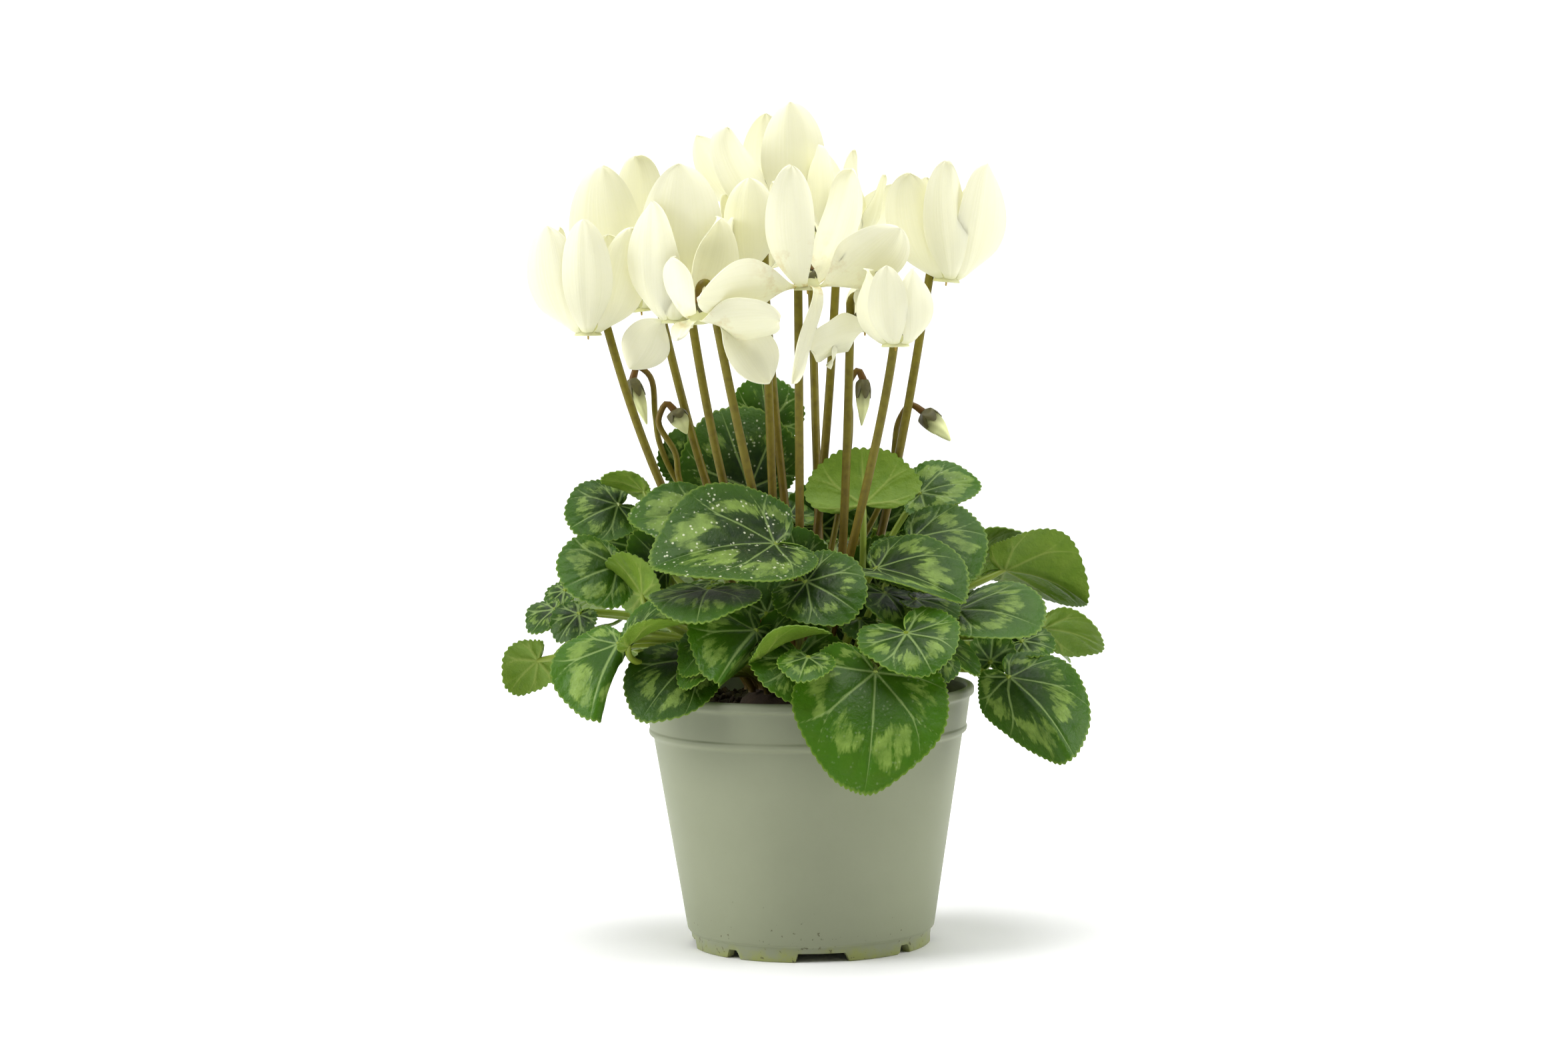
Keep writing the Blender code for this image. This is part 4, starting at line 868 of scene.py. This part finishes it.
# the skin is puckered between the veins and pebbled, which breaks up the shine; the pebbles are its cells,
# drawn at 0.9 mm because real ones are too fine to show
fine = add_node(leaf_skin, "TexNoise", {"Vector": where, "Scale": 1100.0, "Detail": 3.0})
relief = add_node(leaf_skin, "Bump", {"Strength": 0.55, "Distance": 0.0018, "Height": mottle})
relief = add_node(leaf_skin, "Bump", {"Strength": 0.30, "Distance": 0.0003, "Height": fine, "Normal": relief})
fill(leaf_skin, shader, {"Base Color": whole, "Normal": relief, "Roughness": 0.42, "IOR": 1.32})

print("nodes in the leaf skin:", len(leaf_skin.node_tree.nodes))

# %% [markdown]
# The stalks are fleshy and smooth, olive in the middle and red-brown at both ends, with freckles of about 3
# mm. The petioles are paler, and red-brown only near the crown. Their points carry the share of the way
# along the stem, which places these colours. Both have the soft gloss of a full, waxy skin.

# %% Stem skins
stem_skin, shader, where = new_material("fleshy_olive_stem")
stem = carried(stem_skin, "stem")[0]
fade = add_node(stem_skin, "MapRange", {0: stem, 1: 0.0, 2: 0.45, 3: 1.0, 4: 0.0})
ends = add_node(stem_skin, "MapRange", {0: stem, 1: 0.82, 2: 1.0, 3: 0.0, 4: 0.9})
ends = add_node(stem_skin, "Math", {0: fade, 1: ends}, operation="MAXIMUM")
flesh = add_node(stem_skin, "Mix", {0: ends, 6: "#756c1c", 7: "#5f3a14"}, 2, data_type="RGBA")
freckle = add_node(stem_skin, "TexNoise", {"Vector": where, "Scale": 380.0, "Detail": 4.0})
flesh = coat(stem_skin, flesh, "#4f4212", freckle, 0.45, 0.75, 0.0, 0.5)
relief = add_node(stem_skin, "Bump", {"Strength": 0.25, "Distance": 0.0002, "Height": freckle})
fill(stem_skin, shader, {"Base Color": flesh, "Normal": relief, "Roughness": 0.42, "IOR": 1.33})

petiole_skin, shader, _ = new_material("pale_green_petiole")
flesh = coat(petiole_skin, "#869a2e", "#5e3f1c", carried(petiole_skin, "stem")[0], 0.55, 0.05, 0.0, 0.9)
fill(petiole_skin, shader, {"Base Color": flesh, "Roughness": 0.42})
print("nodes in the stalk's skin:", len(stem_skin.node_tree.nodes))

# %% [markdown]
# Each leaf that the model names becomes one piece: a blade and a petiole, with a finish for each. The seed,
# which is the leaf's own number, makes every blade a little different.

# %% The model's leaves


def build_leaf(name, leaf, lamina, start, replaced=None):
    """One leaf as one piece: its blade, and its petiole from the starting point."""
    build(name, [lamina, petiole(leaf, start)], [leaf_skin, petiole_skin], replaced)


for index, (name, leaf) in enumerate(LEAVES.items()):
    build_leaf(name.replace("leaf", "marbled_leaf"), leaf, blade(leaf, index + 1), STARTS[name], name)
print("leaves:", len(LEAVES))

# %% [markdown]
# A cyclamen flower hangs head down: the stalk bends over, the short tube's mouth looks at the ground, and
# the five petals sweep up and back round it. Each petal is one curved sheet along a middle line, which
# leaves the mouth outwards and turns up to its tip. It widens like an egg, its edges bend inwards and
# ripple, and it twists a little.

# %% Petals
TUBE_LENGTH, TUBE_MOUTH_RADIUS, TUBE_TOP_RADIUS, HOOK_RADIUS = 7.0, 4.6, 2.6, 2.8
PETAL_ROOT_HALF, PETAL_BREADTH, PETAL_WIDEST, PETAL_STEP, PETAL_FLARE = 1.9, 0.197, 0.6, 60, 7.2
PETAL_PLAIN = (15, 1.0)
PETAL_THICKNESS, PETAL_THINNING, PETAL_CUP, EDGE_WAVE, TWIST_WAVE = 0.55, 0.22, 0.25, 1.7, 1.2


def petal_bearings(flower):
    """Each petal tip with its root's bearing: six even places from the hook, the stalk taking the sixth."""
    def turned_from_hook(tip):
        bearing = math.degrees(math.atan2(tip[1] - flower.mouth[1], tip[0] - flower.mouth[0]))
        return (bearing - flower.hook) % 360

    order = sorted(flower.tips, key=turned_from_hook)
    return [(tip, math.radians(flower.hook + PETAL_STEP * (index + 1))) for index, tip in enumerate(order)]


def petal(flower, tip, bearing, seed, columns=23, rows=30):
    """One petal's closed sheet.

    The half breadth is (root + length x breadth x sin^1.8) as far as the widest place, then nearly a
    quarter ellipse to the blunt point. One shoulder is fuller than the other. The edges bend in by a
    quarter of the half breadth times the square of the place across, and each edge ripples by its own
    sine along the length.
    """
    random = np.random.default_rng(seed)
    phase, shoulder = random.uniform(0, 2 * math.pi, 4), random.uniform(-0.14, 0.14)
    mouth, up = np.array(flower.mouth, float), unit(flower.top)
    *tip, turn, breadth = (*tip, *PETAL_PLAIN[len(tip) - 3:])
    tip = np.array(tip, float)
    away = np.array((math.cos(bearing), math.sin(bearing), 0.0))
    away = unit(away - up * away.dot(up))
    root = mouth + away * (TUBE_MOUTH_RADIUS - 0.9) + up * 1.1
    span = tip - root
    length = np.linalg.norm(span)
    climb = max(up.dot(span) / length, 0.0)
    spread = span - up * up.dot(span)
    second = root + away * PETAL_FLARE + up * length * 0.06 * climb - up * 0.6
    third = tip - unit(up * climb + span / length) * length * 0.38 + unit(spread) * length * 0.09 * climb
    fine = np.linspace(0, 1, 65)
    line = bezier(root, second, third, tip, len(fine))
    heading = np.gradient(line, axis=0)
    v = np.sin(0.5 * math.pi * np.linspace(0, 1, rows))
    middle = np.stack([np.interp(v, fine, line[:, axis]) for axis in range(3)], 1)
    ahead = unit(np.stack([np.interp(v, fine, heading[:, axis]) for axis in range(3)], 1))
    side = np.cross(up, away)
    side = unit(side - ahead * (ahead @ side)[:, None])
    inward = np.cross(ahead, side)
    angle = (math.radians(turn) * np.minimum(v / 0.4, 1.0))[:, None]
    cosine, sine = np.cos(angle), np.sin(angle)
    side, inward = side * cosine + inward * sine, inward * cosine - side * sine
    swell = np.sin(0.5 * math.pi * np.minimum(v / PETAL_WIDEST, 1.0)) ** 1.8
    close = np.maximum(v - PETAL_WIDEST, 0.0) / (1.0 - PETAL_WIDEST)
    half = (PETAL_ROOT_HALF + length * PETAL_BREADTH * breadth * swell) * (1.002 - close**2) ** 0.58
    across = np.linspace(-1, 1, columns)
    along = v[:, None]
    edge_wave = np.where(across < 0, np.sin(7.5 * along + phase[0]), np.sin(9.0 * along + phase[3]))
    bend = (PETAL_CUP * half[:, None] * across**2 + EDGE_WAVE * along * across**2 * edge_wave
            + TWIST_WAVE * along * across * np.sin(4.0 * along + phase[2])
            + 0.16 * np.exp(-((across / 0.12) ** 2)) * np.sin(math.pi * along) ** 0.5
            + 0.12 * np.sin(9 * across + phase[1]) * along)
    reach = half[:, None] * across * (1 + shoulder * np.sign(across) * np.sin(math.pi * along))
    places = middle[:, None] + reach[..., None] * side[:, None] + bend[..., None] * inward[:, None]
    thickness = PETAL_THICKNESS - PETAL_THINNING * np.abs(across)[None] ** 2 * np.ones((rows, 1))
    growth = np.stack([np.broadcast_to(v[:, None], (rows, columns)), np.broadcast_to(across, (rows, columns)),
                       np.full((rows, columns), flower.stain)], -1)
    return sheet(places, thickness, {"growth": growth})


print("petals in a flower:", 360 // PETAL_STEP - 1)

# %% [markdown]
# The petals grow from one short tube whose mouth looks down. It is a turned outline, made upright and then
# tilted into place. The anthers stand together as a cone in the throat.

# %% Corolla tubes and anthers


def in_place(shape, base, up):
    """A shape made about the Z axis, turned so that Z points along `up`, and moved to the base."""
    first = unit(np.cross((0.0, 1.0, 0.02), up))
    frame_axes = np.stack([first, np.cross(up, first), up])
    return shape._replace(places=shape.places @ frame_axes + base)


def corolla_tube(flower, sides=40):
    """The tube: an outline that flares at the mouth and is hollow, closed above by its own floor."""
    outline = rounded([(5.0, 0.2), (4.3, 1.6), (3.5, 4.2), (TUBE_TOP_RADIUS, TUBE_LENGTH), (0.3, TUBE_LENGTH),
                       (0.3, TUBE_LENGTH - 0.8), (2.2, TUBE_LENGTH - 0.9), (3.0, 4.0), (3.8, 1.4),
                       (4.4, 0.0)], 0.6)
    radius, height = (np.repeat(outline[:, axis:axis + 1], sides, axis=1) for axis in (0, 1))
    shape = turned(radius, height, closed=True)
    shape = shape._replace(faces=[face[:, ::-1] for face in shape.faces],
                           traits={"growth": np.zeros_like(shape.places)})
    return in_place(shape, np.array(flower.mouth, float), unit(flower.top))


def anther_cone(flower):
    """The five anthers joined to a cone in the throat, and the style's end that shows below them."""
    mouth, up = np.array(flower.mouth, float), unit(flower.top)
    heights = np.array((6.5, 5.5, 3.5, 1.2, 0.1, -0.1, -1.0, -1.3))
    radii = np.array((0.6, 1.7, 1.9, 1.1, 0.45, 0.35, 0.33, 0.12))
    return tube(mouth + heights[:, None] * up, radii, np.array((1.0, 0.1, 0.0)), 12, slot=1)


print("tube", TUBE_LENGTH, "mm long")

# %% [markdown]
# A white petal is thin and full of air, so it glows where light comes through, and a little subsurface
# scattering gives that glow. Its surface is satin. The foot of each petal is greenish. The anthers are
# covered in dusty yellow pollen, drawn in grains of 0.6 mm so that it shows.

# %% Petal and anther finishes
petal_skin, shader, where = new_material("creamy_white_petal")
along, across, stain = carried(petal_skin, "growth")
# faint ribs run the length of a petal, about one a millimetre
ribs = add_node(petal_skin, "Math", {0: across, 1: 14.0}, operation="MULTIPLY")
ribs = add_node(petal_skin, "CombineXYZ", {0: along, 1: ribs})
ribs = add_node(petal_skin, "TexNoise", {"Vector": ribs, "Scale": 1.0, "Detail": 2.0})
white = add_node(petal_skin, "Mix", {0: ribs, 6: "#f7f5d5", 7: "#efeec5"}, 2, data_type="RGBA")
white = coat(petal_skin, white, "#d5d69a", along, 0.16, 0.0, 0.0, 0.8)
# old flowers brown in blots of 8 mm towards the foot of each petal
blots = add_node(petal_skin, "TexNoise", {"Vector": where, "Scale": 130.0, "Detail": 5.0, "Roughness": 0.65})
blots = add_node(petal_skin, "MapRange", {0: blots, 1: 0.52, 2: 0.64, 3: 0.0, 4: 0.8})
blots = add_node(petal_skin, "Math", {0: blots, 1: stain}, operation="MULTIPLY")
near = add_node(petal_skin, "MapRange", {0: along, 1: 0.6, 2: 0.1, 3: 0.0, 4: 1.0})
blots = add_node(petal_skin, "Math", {0: blots, 1: near}, operation="MULTIPLY")
white = add_node(petal_skin, "Mix", {0: blots, 6: white, 7: "#c9a24e"}, 2, data_type="RGBA")
relief = add_node(petal_skin, "Bump", {"Strength": 0.25, "Distance": 0.0003, "Height": ribs})
fill(petal_skin, shader, {"Base Color": white, "Normal": relief, "Roughness": 0.55, "IOR": 1.38,
                          "Subsurface Weight": 0.35, "Subsurface Radius": (1.0, 0.95, 0.75),
                          "Subsurface Scale": 0.003})

pollen, shader, where = new_material("dusty_yellow_anther")
dusty = add_node(pollen, "TexNoise", {"Vector": where, "Scale": 1800.0, "Detail": 3.0})
dusty = add_node(pollen, "Mix", {0: dusty, 6: "#8c7020", 7: "#d0b048"}, 2, data_type="RGBA")
fill(pollen, shader, {"Base Color": dusty, "Roughness": 0.85})
print("nodes in the petal:", len(petal_skin.node_tree.nodes))

# %% [markdown]
# A flower's petals and tube grew as one, so they are one piece, and the anther cone goes with them.

# %% The corollas
for index, (number, flower) in enumerate(FLOWERS.items()):
    petals = [petal(flower, tip, bearing, 100 + 5 * index + order)
              for order, (tip, bearing) in enumerate(petal_bearings(flower))]
    build(f"white_corolla_{number}", [corolla_tube(flower), *petals, anther_cone(flower)],
          [petal_skin, pollen], replaced=f"corolla_{number}")
print("petals:", 5 * len(FLOWERS))

# %% [markdown]
# The stalk is a fleshy rod, thicker than a petiole. It rises beside the mouth, turns over in a tight half
# circle and runs down into the calyx. The calyx is a five-pointed cup that holds the tube's upper end.

# %% Flower stalks and calyces
CALYX_LENGTH, CALYX_RADIUS, SEPAL_THICKNESS = 5.0, 3.3, 0.35


def stalk_route(flower, start):
    """The stalk: a Bezier curve to the shoulder, a half circle of the hook's radius and a straight end."""
    mouth, up = np.array(flower.mouth, float), unit(flower.top)
    bearing = math.radians(flower.hook)
    side = np.array((math.cos(bearing), math.sin(bearing), 0.0))
    side = unit(side - up * side.dot(up))
    calyx = mouth + up * (TUBE_LENGTH + GAP)
    centre = calyx + up * 3.0 + side * HOOK_RADIUS
    shoulder = centre + side * HOOK_RADIUS
    chord = shoulder - start
    height = np.linalg.norm(chord)
    outward = np.array((chord[0], chord[1], 0.0)) * 0.25
    rise = bezier(start + STEM_FOOT, start + 0.33 * chord + outward + np.array(flower.bow),
                  shoulder - 0.3 * (0.55 * chord + 0.45 * height * up), shoulder, 44)
    angle = np.radians(np.linspace(15, 165, 11))[:, None]
    turn = centre + HOOK_RADIUS * (side * np.cos(angle) + up * np.sin(angle))
    end = calyx + up * np.array((3.0, 2.2, 1.4, 0.6, 0.0))[:, None]
    path = np.concatenate([[start], rise, turn, end])
    radii = np.concatenate([[STALK_RADIUS * 1.1], np.full(44, STALK_RADIUS), np.linspace(1.4, 1.25, 11),
                            (1.25, 1.35, 1.7, 2.3, 2.7)])
    return path, radii, np.cross(side, up)


def calyx_cup(base, up, reach, widest, sides=60, rows=8):
    """Five sepals: a ring of height h(b) from the base, h longest at five bearings, hugging the tube."""
    bearing = np.linspace(0, 2 * math.pi, sides + 1)[None]
    t = np.linspace(0, 1, rows)[:, None]
    lobe = 0.42 + 0.58 * np.abs(np.cos(2.5 * bearing)) ** 0.8
    radius = 1.5 + (widest - 1.5) * np.sin(0.5 * math.pi * np.minimum(t * 1.6, 1)) + 0.25 * (1 - lobe) * t
    drop = reach * t * lobe
    middle = np.stack([radius * np.cos(bearing), radius * np.sin(bearing), 0.6 - drop], -1)
    shape = sheet(middle[:, ::-1], np.full(middle.shape[:2], SEPAL_THICKNESS), slot=1)
    return in_place(shape, base, up)


print("calyx", CALYX_LENGTH, "mm long")

# %% [markdown]
# The sepals are leathery and dull, dark olive with lighter flecks of 2 mm. Stalk and calyx are one piece,
# as they grew, with a finish for each.

# %% Sepals, and the stalks with them
sepal_skin, shader, where = new_material("dark_olive_sepal")
mark = add_node(sepal_skin, "TexNoise", {"Vector": where, "Scale": 500.0, "Detail": 4.0})
mark = add_node(sepal_skin, "Mix", {0: mark, 6: "#3a3520", 7: "#6d6a38"}, 2, data_type="RGBA")
fill(sepal_skin, shader, {"Base Color": mark, "Roughness": 0.5})

for number, flower in FLOWERS.items():
    path, radii, across = stalk_route(flower, STARTS[number])
    up = unit(flower.top)
    cup = calyx_cup(np.array(flower.mouth, float) + up * TUBE_LENGTH, up, CALYX_LENGTH, CALYX_RADIUS)
    build(f"olive_stalk_{number}", [tube(path, radii, across, 14), cup], [stem_skin, sepal_skin],
          replaced=f"flower_stalk_{number}")
print("stalks:", len(FLOWERS))

# %% [markdown]
# A closed bud hangs from a thinner hooked stem. Its petals are wound round each other like a furled
# umbrella, so its outline carries a spiral. The calyx is dark, and the petals lighten towards the point.

# %% Buds
BUD_FOLDS = 5


def furled(base, tip, swell, sides=30, rows=26):
    """The furled petals: a turned outline whose radius ripples with five times the bearing plus a twist."""
    length = np.linalg.norm(tip - base)
    t = np.linspace(0, 1, rows)[:, None]
    outline = swell * np.interp(t, (0, 0.1, 0.3, 0.55, 0.8, 0.95, 1), (0.55, 0.85, 1.0, 0.82, 0.45, 0.2, 0.1))
    bearing = np.linspace(0, 2 * math.pi, sides, endpoint=False)[None]
    radius = outline * (1 + 0.09 * np.sin(BUD_FOLDS * bearing + 7 * t) * np.sin(math.pi * t))
    shape = turned(radius, length * t + 0 * bearing, closed=False)
    shape = shape._replace(faces=[face[:, ::-1] for face in shape.faces], slot=2,
                           traits={"growth": np.repeat(np.repeat(t, sides, 0), 3, 1)})
    return in_place(shape, base, unit(tip - base))


print("folds round a bud:", BUD_FOLDS)

# %% [markdown]
# The wound petals are satin, dark olive at the calyx with flecks of 3 mm, and creamy green towards the
# point. Their points carry the share of the bud's length, which places the change. A bud is one piece with
# its stem and calyx.

# %% Bud petals, and the buds
bud_skin, shader, where = new_material("furled_bud_petal")
mark = add_node(bud_skin, "TexNoise", {"Vector": where, "Scale": 300.0, "Detail": 4.0})
dark = add_node(bud_skin, "Mix", {0: mark, 6: "#40402a", 7: "#8c8f4c"}, 2, data_type="RGBA")
pale = coat(bud_skin, dark, "#e3e8a6", carried(bud_skin, "growth")[0], 0.25, 0.6, 0.0, 1.0)
fill(bud_skin, shader, {"Base Color": pale, "Roughness": 0.5})

for name, bud in BUDS.items():
    start, first = STARTS[name], np.array(bud.route[0], float)
    height = np.linalg.norm(first - start)
    stem = bezier(start + STEM_FOOT, start + np.array((0.0, 0.0, 0.4 * height)) + np.array(bud.bow),
                  first - np.array((0.0, 0.0, 0.3 * height)), first, 12)
    base, tip = (np.array(point, float) for point in bud.route[-2:])
    path = smooth_path([start, *stem, *bud.route[1:-2], base], 70)
    widths = (BUD_STEM_RADIUS, BUD_STEM_RADIUS, BUD_STEM_RADIUS * 1.3)
    radii = np.interp(np.linspace(0, 1, 70), (0, 0.95, 1), widths)
    shapes = [tube(path, radii, np.array((0.1, 1.0, 0.1)), 12),
              calyx_cup(base, -unit(tip - base), 0.42 * np.linalg.norm(tip - base), bud.swell * 1.02),
              furled(base, tip, bud.swell)]
    build(name.replace("bud", "furled_bud"), shapes, [stem_skin, sepal_skin, bud_skin], replaced=name)
print("buds:", len(BUDS))

# %% [markdown]
# Besides the leaves that the model names, a grown plant has small and half-hidden ones that fill the gaps
# between them. They are made by the same two functions and start between the named stems on the crown.

# %% Small leaves in the gaps
YOUNG = [
    Leaf((-62, -44, 113), (-40, -46, 121), (-0.2, -0.35, 1.0), 1.0, 0.2, 42, 25, silver=0.6),
    Leaf((-16, -54, 109), (8, -56, 118), (-0.2, -0.35, 1.0), 1.0, 0.2, 42, 25, silver=0.6),
    Leaf((-58, -20, 128), (-70, -18, 142), (0.5, 0.75, 0.3), 0.9, 0.4, silver=0.4),
    Leaf((-50, -6, 136), (-62, -12, 150), (0.3, -0.9, 0.2), 0.9, 0.5, silver=0.2),
    Leaf((26, 4, 128), (34, -2, 146), (0.0, -0.9, 0.3), 1.0, 0.5, silver=0.3),
    Leaf((10, -10, 116), (22, -18, 130), (0.0, -0.9, 0.3), 1.0, 0.5, silver=0.3),
    Leaf((-14, -26, 122), (-8, -32, 136), (0.0, -0.9, 0.3), 1.1, 0.6, silver=0.3),
    Leaf((-2, -20, 138), (-6, -24, 152), (0.0, -0.9, 0.3), 1.0, 0.5, silver=0.3),
    Leaf((-58, 14, 163), (-74, 14, 168), (-0.2, 0.5, 0.8), 0.8, 0.2, silver=0.4),
    Leaf((-3, -57, 109), (-2, -66, 94), (0.0, -0.9, 0.4), 1.1, 0.8, silver=0.7),
    Leaf((-41, 28, 170), (-44, 32, 186), (-0.1, -0.9, 0.4), silver=0.9),
    Leaf((-91, 8, 121), (-100, 4, 113), (-0.4, -0.6, 0.6), silver=0.8),
    Leaf((-88, 18, 127), (-94, 16, 120), (-0.3, -0.6, 0.7), silver=0.8),
    Leaf((-82, 0, 120), (-89, -4, 110), (-0.3, -0.8, 0.5), silver=0.7),
    Leaf((77, -14, 109), (88, -18, 106), (0.2, -0.7, 0.7), silver=0.7),
    Leaf((65, -20, 103), (66, -18, 115), (0.1, -0.9, 0.3), silver=0.6),
    Leaf((70, -10, 111), (71, -14, 98), (0.1, -0.9, 0.3), silver=0.6),
    Leaf((-6, 34, 152), (-14, 50, 160), (-0.1, 0.2, 0.9), silver=1.0),
    Leaf((26, 40, 146), (34, 56, 150), (0.1, 0.3, 0.9), silver=1.2),
    Leaf((-44, 34, 140), (-60, 44, 142), (-0.2, 0.2, 0.9), silver=1.1),
    Leaf((52, 40, 132), (68, 50, 132), (0.3, 0.2, 0.9), silver=0.9),
    Leaf((-76, 22, 112), (-92, 30, 100), (-0.7, 0.2, 0.6), silver=1.1),
    Leaf((80, 14, 108), (96, 20, 98), (0.6, 0.1, 0.7), silver=1.1),
    Leaf((-20, 62, 110), (-24, 74, 92), (-0.1, 0.9, 0.4), silver=1.0),
    Leaf((22, 60, 112), (30, 74, 96), (0.2, 0.9, 0.4), silver=1.2),
    Leaf((-50, 52, 108), (-60, 64, 92), (-0.5, 0.8, 0.4), silver=0.8),
    Leaf((56, 52, 106), (66, 62, 90), (0.6, 0.7, 0.4), silver=1.0),
    Leaf((6, 42, 147), (8, 44, 165), (0.0, -0.9, 0.4), 1.1, 0.5, silver=0.4),
    Leaf((26, 35, 147), (30, 38, 164), (0.1, -0.9, 0.4), 1.0, 0.5, silver=0.4),
    Leaf((-63, 24, 142), (-79, 26, 146), (-0.2, -0.9, 0.4), 1.0, 0.5, silver=0.4),
]
YOUNG_ROWS, YOUNG_SEED, MIDDLE_RING = 8, 60, 18.8


def between_stems(leaf):
    """Where an unnamed leaf starts: on the crown between the two outer rings, on its joint's bearing."""
    bearing = math.atan2(leaf.joint[1], leaf.joint[0])
    return np.array((MIDDLE_RING * math.cos(bearing), MIDDLE_RING * math.sin(bearing),
                     crown_height(MIDDLE_RING)))


for index, leaf in enumerate(YOUNG):
    build_leaf(f"young_leaf_{index + 1:02d}", leaf, blade(leaf, YOUNG_SEED + index, YOUNG_ROWS),
               between_stems(leaf))
print("young leaves:", len(YOUNG))

# %% [markdown]
# Under the dome the plant is full of leaves that hardly see light. They are tried out one after another,
# each turned on by the golden angle, as a plant sets its leaves. A leaf that would cut through another
# piece is left out, which a tree of bounding boxes (BVH) finds quickly.

# %% Leaves under the dome
GOLDEN_ANGLE, TRIALS, LOWEST, INNER_ROWS, INNER_SEED = math.radians(137.5), 520, 97.0, 6, 200
PLANT_PIECES = ("marbled_leaf", "young_leaf", "olive_stalk", "white", "furled")


def skin_tree(shape):
    """A search tree over one shape's faces."""
    faces = [face for part in shape.faces for face in part.tolist()]
    return BVHTree.FromPolygons(shape.places.tolist(), faces)


def inner_leaf(number, random):
    """A leaf below the dome: the joint's distance from the axis grows as its height falls."""
    bearing, low = number * GOLDEN_ANGLE, random.uniform(0, 1)
    outward = np.array((math.cos(bearing), math.sin(bearing), 0.0))
    size = random.uniform(11, 24)
    joint = outward * (22 + 46 * low) + np.array((0, 0, 152 - 42 * low - random.uniform(0, 24)))
    droop = random.uniform(0.0, 0.9)
    side = np.cross((0, 0, 1.0), outward) * random.uniform(-0.5, 0.5)
    tip = joint + size * unit(outward * math.cos(droop) + side - np.array((0, 0, math.sin(droop))))
    face = 0.5 * outward + np.array((0, 0, 0.8))
    return Leaf(tuple(joint), tuple(tip), tuple(face), random.uniform(0.8, 1.15),
                random.uniform(0.3, 0.5), silver=random.uniform(0.5, 1.2))


def standing_trees():
    """A search tree for every piece made so far that stands above the pot, in millimetres."""
    trees = []
    for item in bpy.data.objects:
        if item.type == "MESH" and item.name.startswith(PLANT_PIECES):
            places = np.empty(3 * len(item.data.vertices))
            item.data.vertices.foreach_get("co", places)
            faces = [tuple(face.vertices) for face in item.data.polygons]
            trees.append(BVHTree.FromPolygons((places.reshape(-1, 3) / MM).tolist(), faces))
    return trees


random = np.random.default_rng(5)
trees, kept = standing_trees(), 0
for number in range(TRIALS):
    leaf = inner_leaf(number, random)
    lamina = blade(leaf, INNER_SEED + number, INNER_ROWS)
    tree = skin_tree(lamina)
    if min(leaf.tip[2], leaf.joint[2]) < LOWEST or any(tree.overlap(other) for other in trees):
        continue
    trees.append(tree)
    kept += 1
    build_leaf(f"inner_leaf_{kept:02d}", leaf, lamina, between_stems(leaf))
print("leaves under the dome:", kept)

# %% [markdown]
# The plant stands on a pale, even studio floor that curves up behind it, lit by large soft lamps from both
# sides and above. Large lamps give the soft shadows under the leaves and the bright bands at the pot's left
# and right edges.

# %% Floor and light
FLOOR_FRONT, FLOOR_BACK, SWEEP_RADIUS, WALL_TOP, FLOOR_HALF_WIDTH = -1600, 1100, 600, 2200, 2200


def sweep_shape():
    """The floor and the wall behind it: flat, then a quarter circle, then upright, as one thick sheet."""
    angle = np.linspace(0, math.pi / 2, 16)[1:-1]
    bend = FLOOR_BACK + SWEEP_RADIUS * np.sin(angle)
    depth = np.concatenate([np.linspace(FLOOR_FRONT, FLOOR_BACK, 12), bend, [FLOOR_BACK + SWEEP_RADIUS] * 2])
    height = np.concatenate([np.zeros(12), SWEEP_RADIUS * (1 - np.cos(angle)), [SWEEP_RADIUS, WALL_TOP]])
    across = np.linspace(-FLOOR_HALF_WIDTH, FLOOR_HALF_WIDTH, 9)
    middle = np.stack(np.broadcast_arrays(across[None], depth[:, None], height[:, None] - 2.0), -1)
    return sheet(middle, np.full(middle.shape[:2], 4.0))


paper, shader, _ = new_material("matt_background_paper")
fill(paper, shader, {"Base Color": "#ffffff", "Roughness": 0.85})
floor = build("background_paper", [sweep_shape()], [paper], rides=False)
floor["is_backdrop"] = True


def soft_lamp(name, place, target, size, power, colour="#ffffff"):
    """A square area lamp that faces a target; places and size in metres, power in watts."""
    data = bpy.data.lights.new(name, "AREA")
    data.shape, data.size, data.energy, data.color = "SQUARE", size, power, linear(colour)[:3]
    lamp = bpy.data.objects.new(name, data)
    lamp.location = place
    lamp.rotation_euler = Vector(np.array(target) - np.array(place)).to_track_quat("-Z", "Y").to_euler()
    bpy.context.scene.collection.objects.link(lamp)


soft_lamp("left_softbox", (-1.30, -0.25, 0.75), (0, 0, 0.15), 0.9, 15.0)
soft_lamp("right_softbox", (1.35, -0.15, 0.70), (0, 0, 0.15), 0.9, 11.0)
soft_lamp("top_softbox", (0.0, -0.45, 1.45), (0, 0, 0.15), 1.0, 13.0)
soft_lamp("backdrop_lamp", (0.0, 0.55, 1.9), (0, 1.7, 0.7), 1.4, 24.0)
world = bpy.data.worlds.new("studio_world")
world.use_nodes = True
fill(world, world.node_tree.nodes["Background"], {"Color": "#ffffff", "Strength": 0.14})
bpy.context.scene.world = world
bpy.context.scene.view_settings.view_transform = "Standard"

# %% Sizes and finish
finished_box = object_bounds()
in_mm = [[round(value / MM, 1) for value in corner] for corner in finished_box]
print("box of the finished model, mm:", in_mm)
